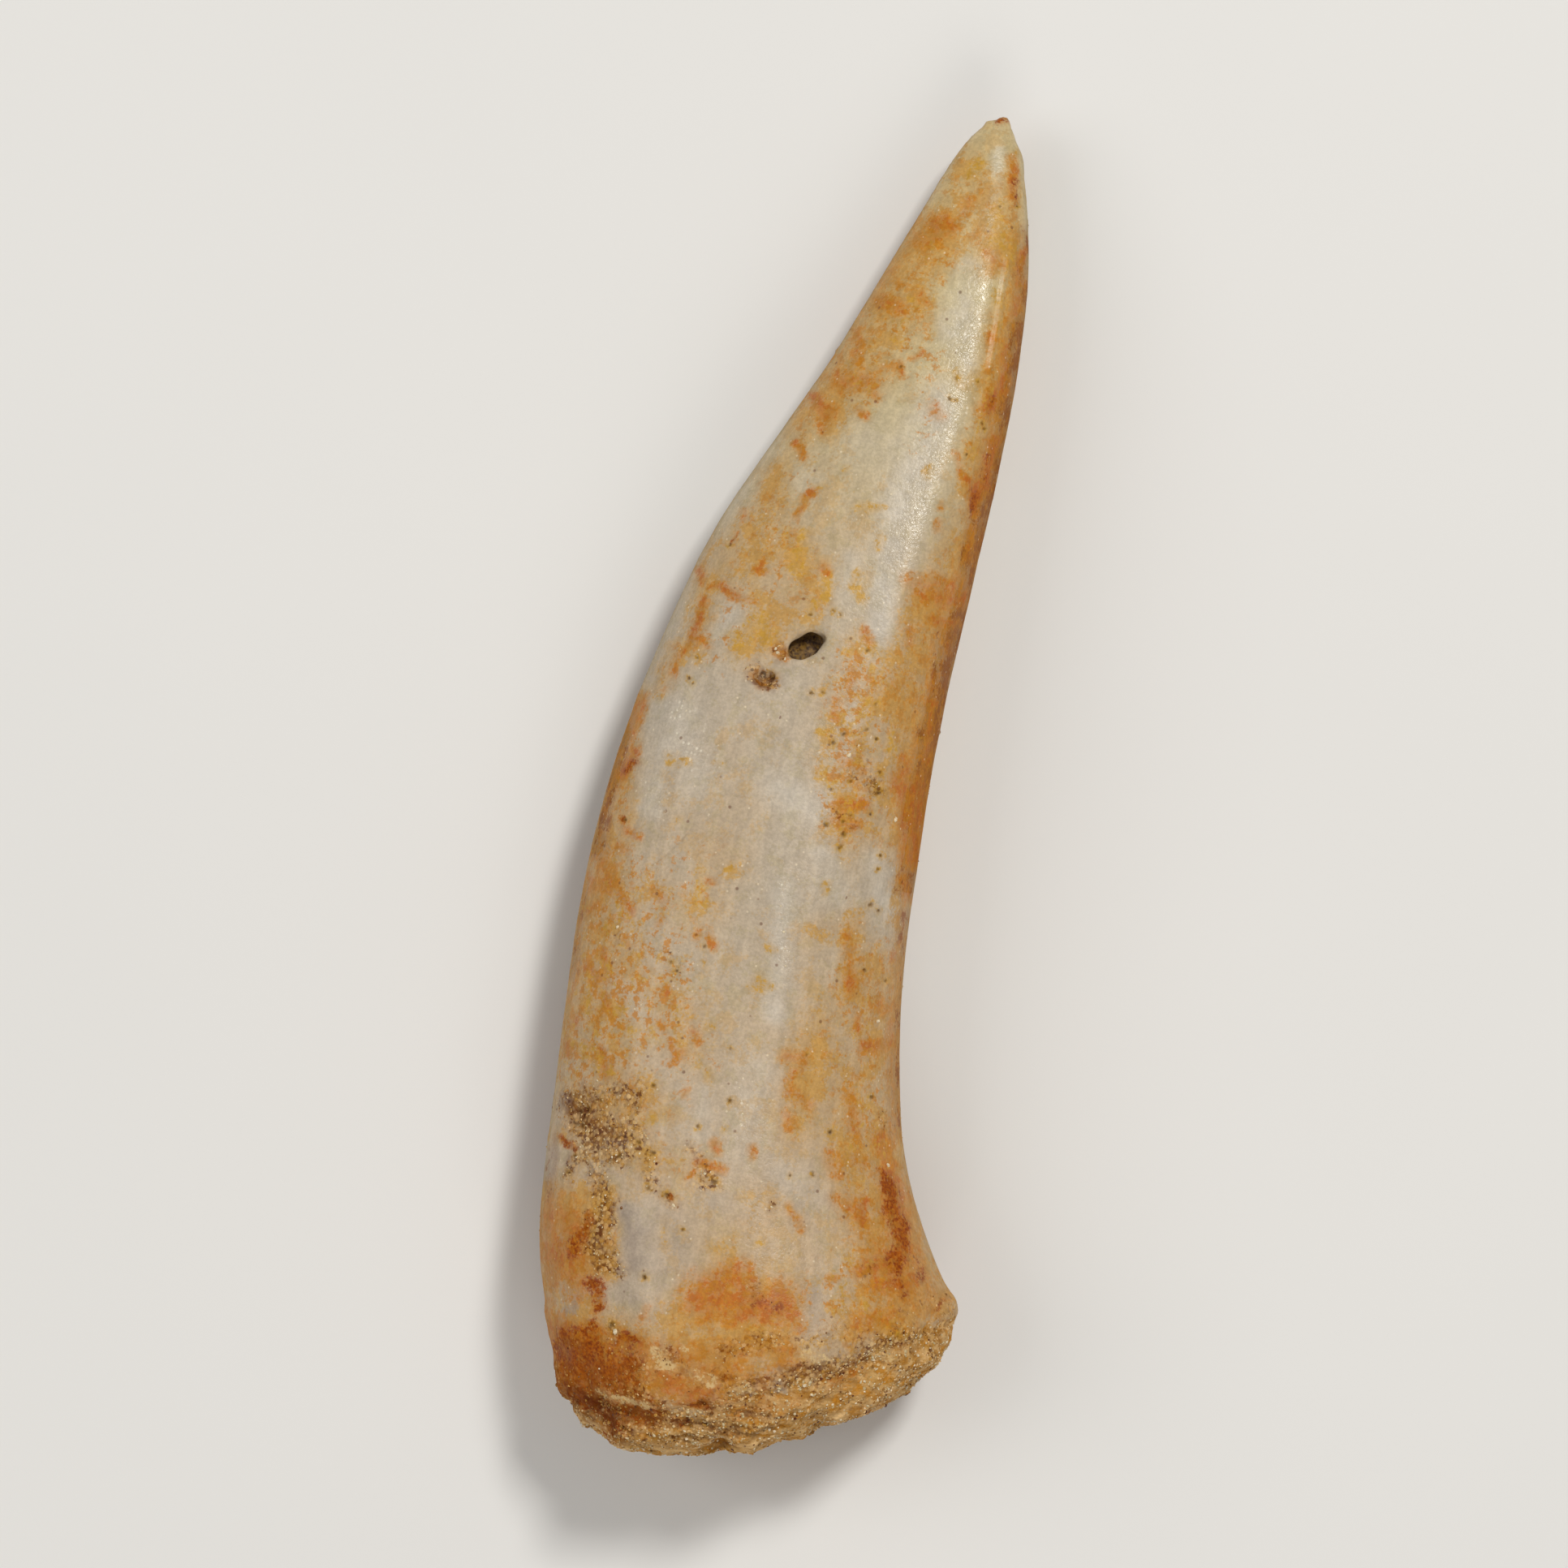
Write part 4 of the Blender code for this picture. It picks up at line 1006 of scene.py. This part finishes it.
def placed_flecks_and_glints(surface):
    """Sites for the pale grains that the photograph shows one by one, some of them set as painted glints.
    """
    points, normals = points_of(surface.data), normals_of(surface.data)
    places = photo_place(points)
    above = np.nonzero(normals[:, 2] > 0.2)[0]
    sites = []
    for x, y, radius in FLECKS_AND_GLINTS:
        nearest = above[np.argmin(spot_distance(places[above], x, y))]
        sites.append((points[nearest], normals[nearest], radius / PIXELS_PER_MM, FLECK_AND_GLINT_TONE))
    return sites


def make_floor():
    shape = bmesh.new()
    bmesh.ops.create_circle(shape, cap_ends=True, segments=FLOOR_SIDES, radius=FLOOR_RADIUS * MM)
    mesh = bpy.data.meshes.new("floor")
    shape.to_mesh(mesh)
    shape.free()
    mesh.materials.append(floor_material())
    return place_object("floor", mesh)


def photo_direction(right, up, rise):
    """A point over the fang, given in the photograph's own directions, in metres."""
    flat = PHOTO_MIDDLE + right * PHOTO_RIGHT + up * PHOTO_UP
    return Vector((flat[0], flat[1], rise)) * MM


def add_light():
    for name, (place, (width, depth), power, tint) in SOFTBOXES.items():
        data = bpy.data.lights.new(name, "AREA")
        data.shape = "RECTANGLE"
        data.size, data.size_y = width * MM, depth * MM
        data.energy = power
        data.color = tint
        lamp = place_object(name, data)
        lamp.location = photo_direction(*place)
        aim = photo_direction(0.0, 0.0, MARGIN_HEIGHT) - lamp.location
        lamp.rotation_euler = aim.to_track_quat("-Z", "Y").to_euler()
    world = bpy.data.worlds.new("studio")
    world.use_nodes = True
    background = world.node_tree.nodes["Background"]
    background.inputs["Color"].default_value = SKY_TINT
    background.inputs["Strength"].default_value = SKY_STRENGTH
    bpy.context.scene.world = world
    bpy.context.scene.view_settings.view_transform = "Standard"


def add_camera():
    data = bpy.data.cameras.new("photo_camera")
    data.sensor_width = SENSOR
    data.lens = SENSOR * CAMERA_RISE * PIXELS_PER_MM / PHOTO_PIXELS
    data.clip_start = 0.01
    camera = place_object("photo_camera", data)
    camera.location = photo_direction(0.0, 0.0, MARGIN_HEIGHT + CAMERA_RISE)
    camera.rotation_euler = (0.0, 0.0, PHOTO_TURN)
    bpy.context.scene.camera = camera


def dress_fang():
    surface, masks = fang_surface()
    draws = np.random.default_rng(DRAWS_SEED)
    root_weight = masks["broken"] * (0.25 + masks["sand"] ** 1.5) * (1.0 - 0.7 * masks["rust"])
    patch_weight = masks["sand"] ** 1.5 * (1.0 - masks["broken"]) * (1.0 - masks["dark"])
    # Grains darken on rust and orange, and in the painted shade of the sand's hollows.
    stained = np.clip(masks["rust"] + 0.6 * masks["orange"] + 0.9 * masks["painted_shade"], 0.0, 1.0)
    root_sites = scatter(surface, root_weight, stained, ROOT_GRAINS, draws, ROOT_RADII)
    root_sand = grains_mesh("root_sand", root_sites, draws)
    patch_sites = scatter(surface, patch_weight, stained, PATCH_GRAINS, draws, PATCH_RADII)
    # The stuck sand, with the flecks and the painted glints among its grains.
    stuck_sand_and_glints = grains_mesh("stuck_sand_and_glints", patch_sites + placed_flecks_and_glints(surface), draws)
    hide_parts("fang")
    for piece in (surface, root_sand, stuck_sand_and_glints):
        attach(piece, "root")


add_camera()
add_light()
make_floor()
dress_fang()
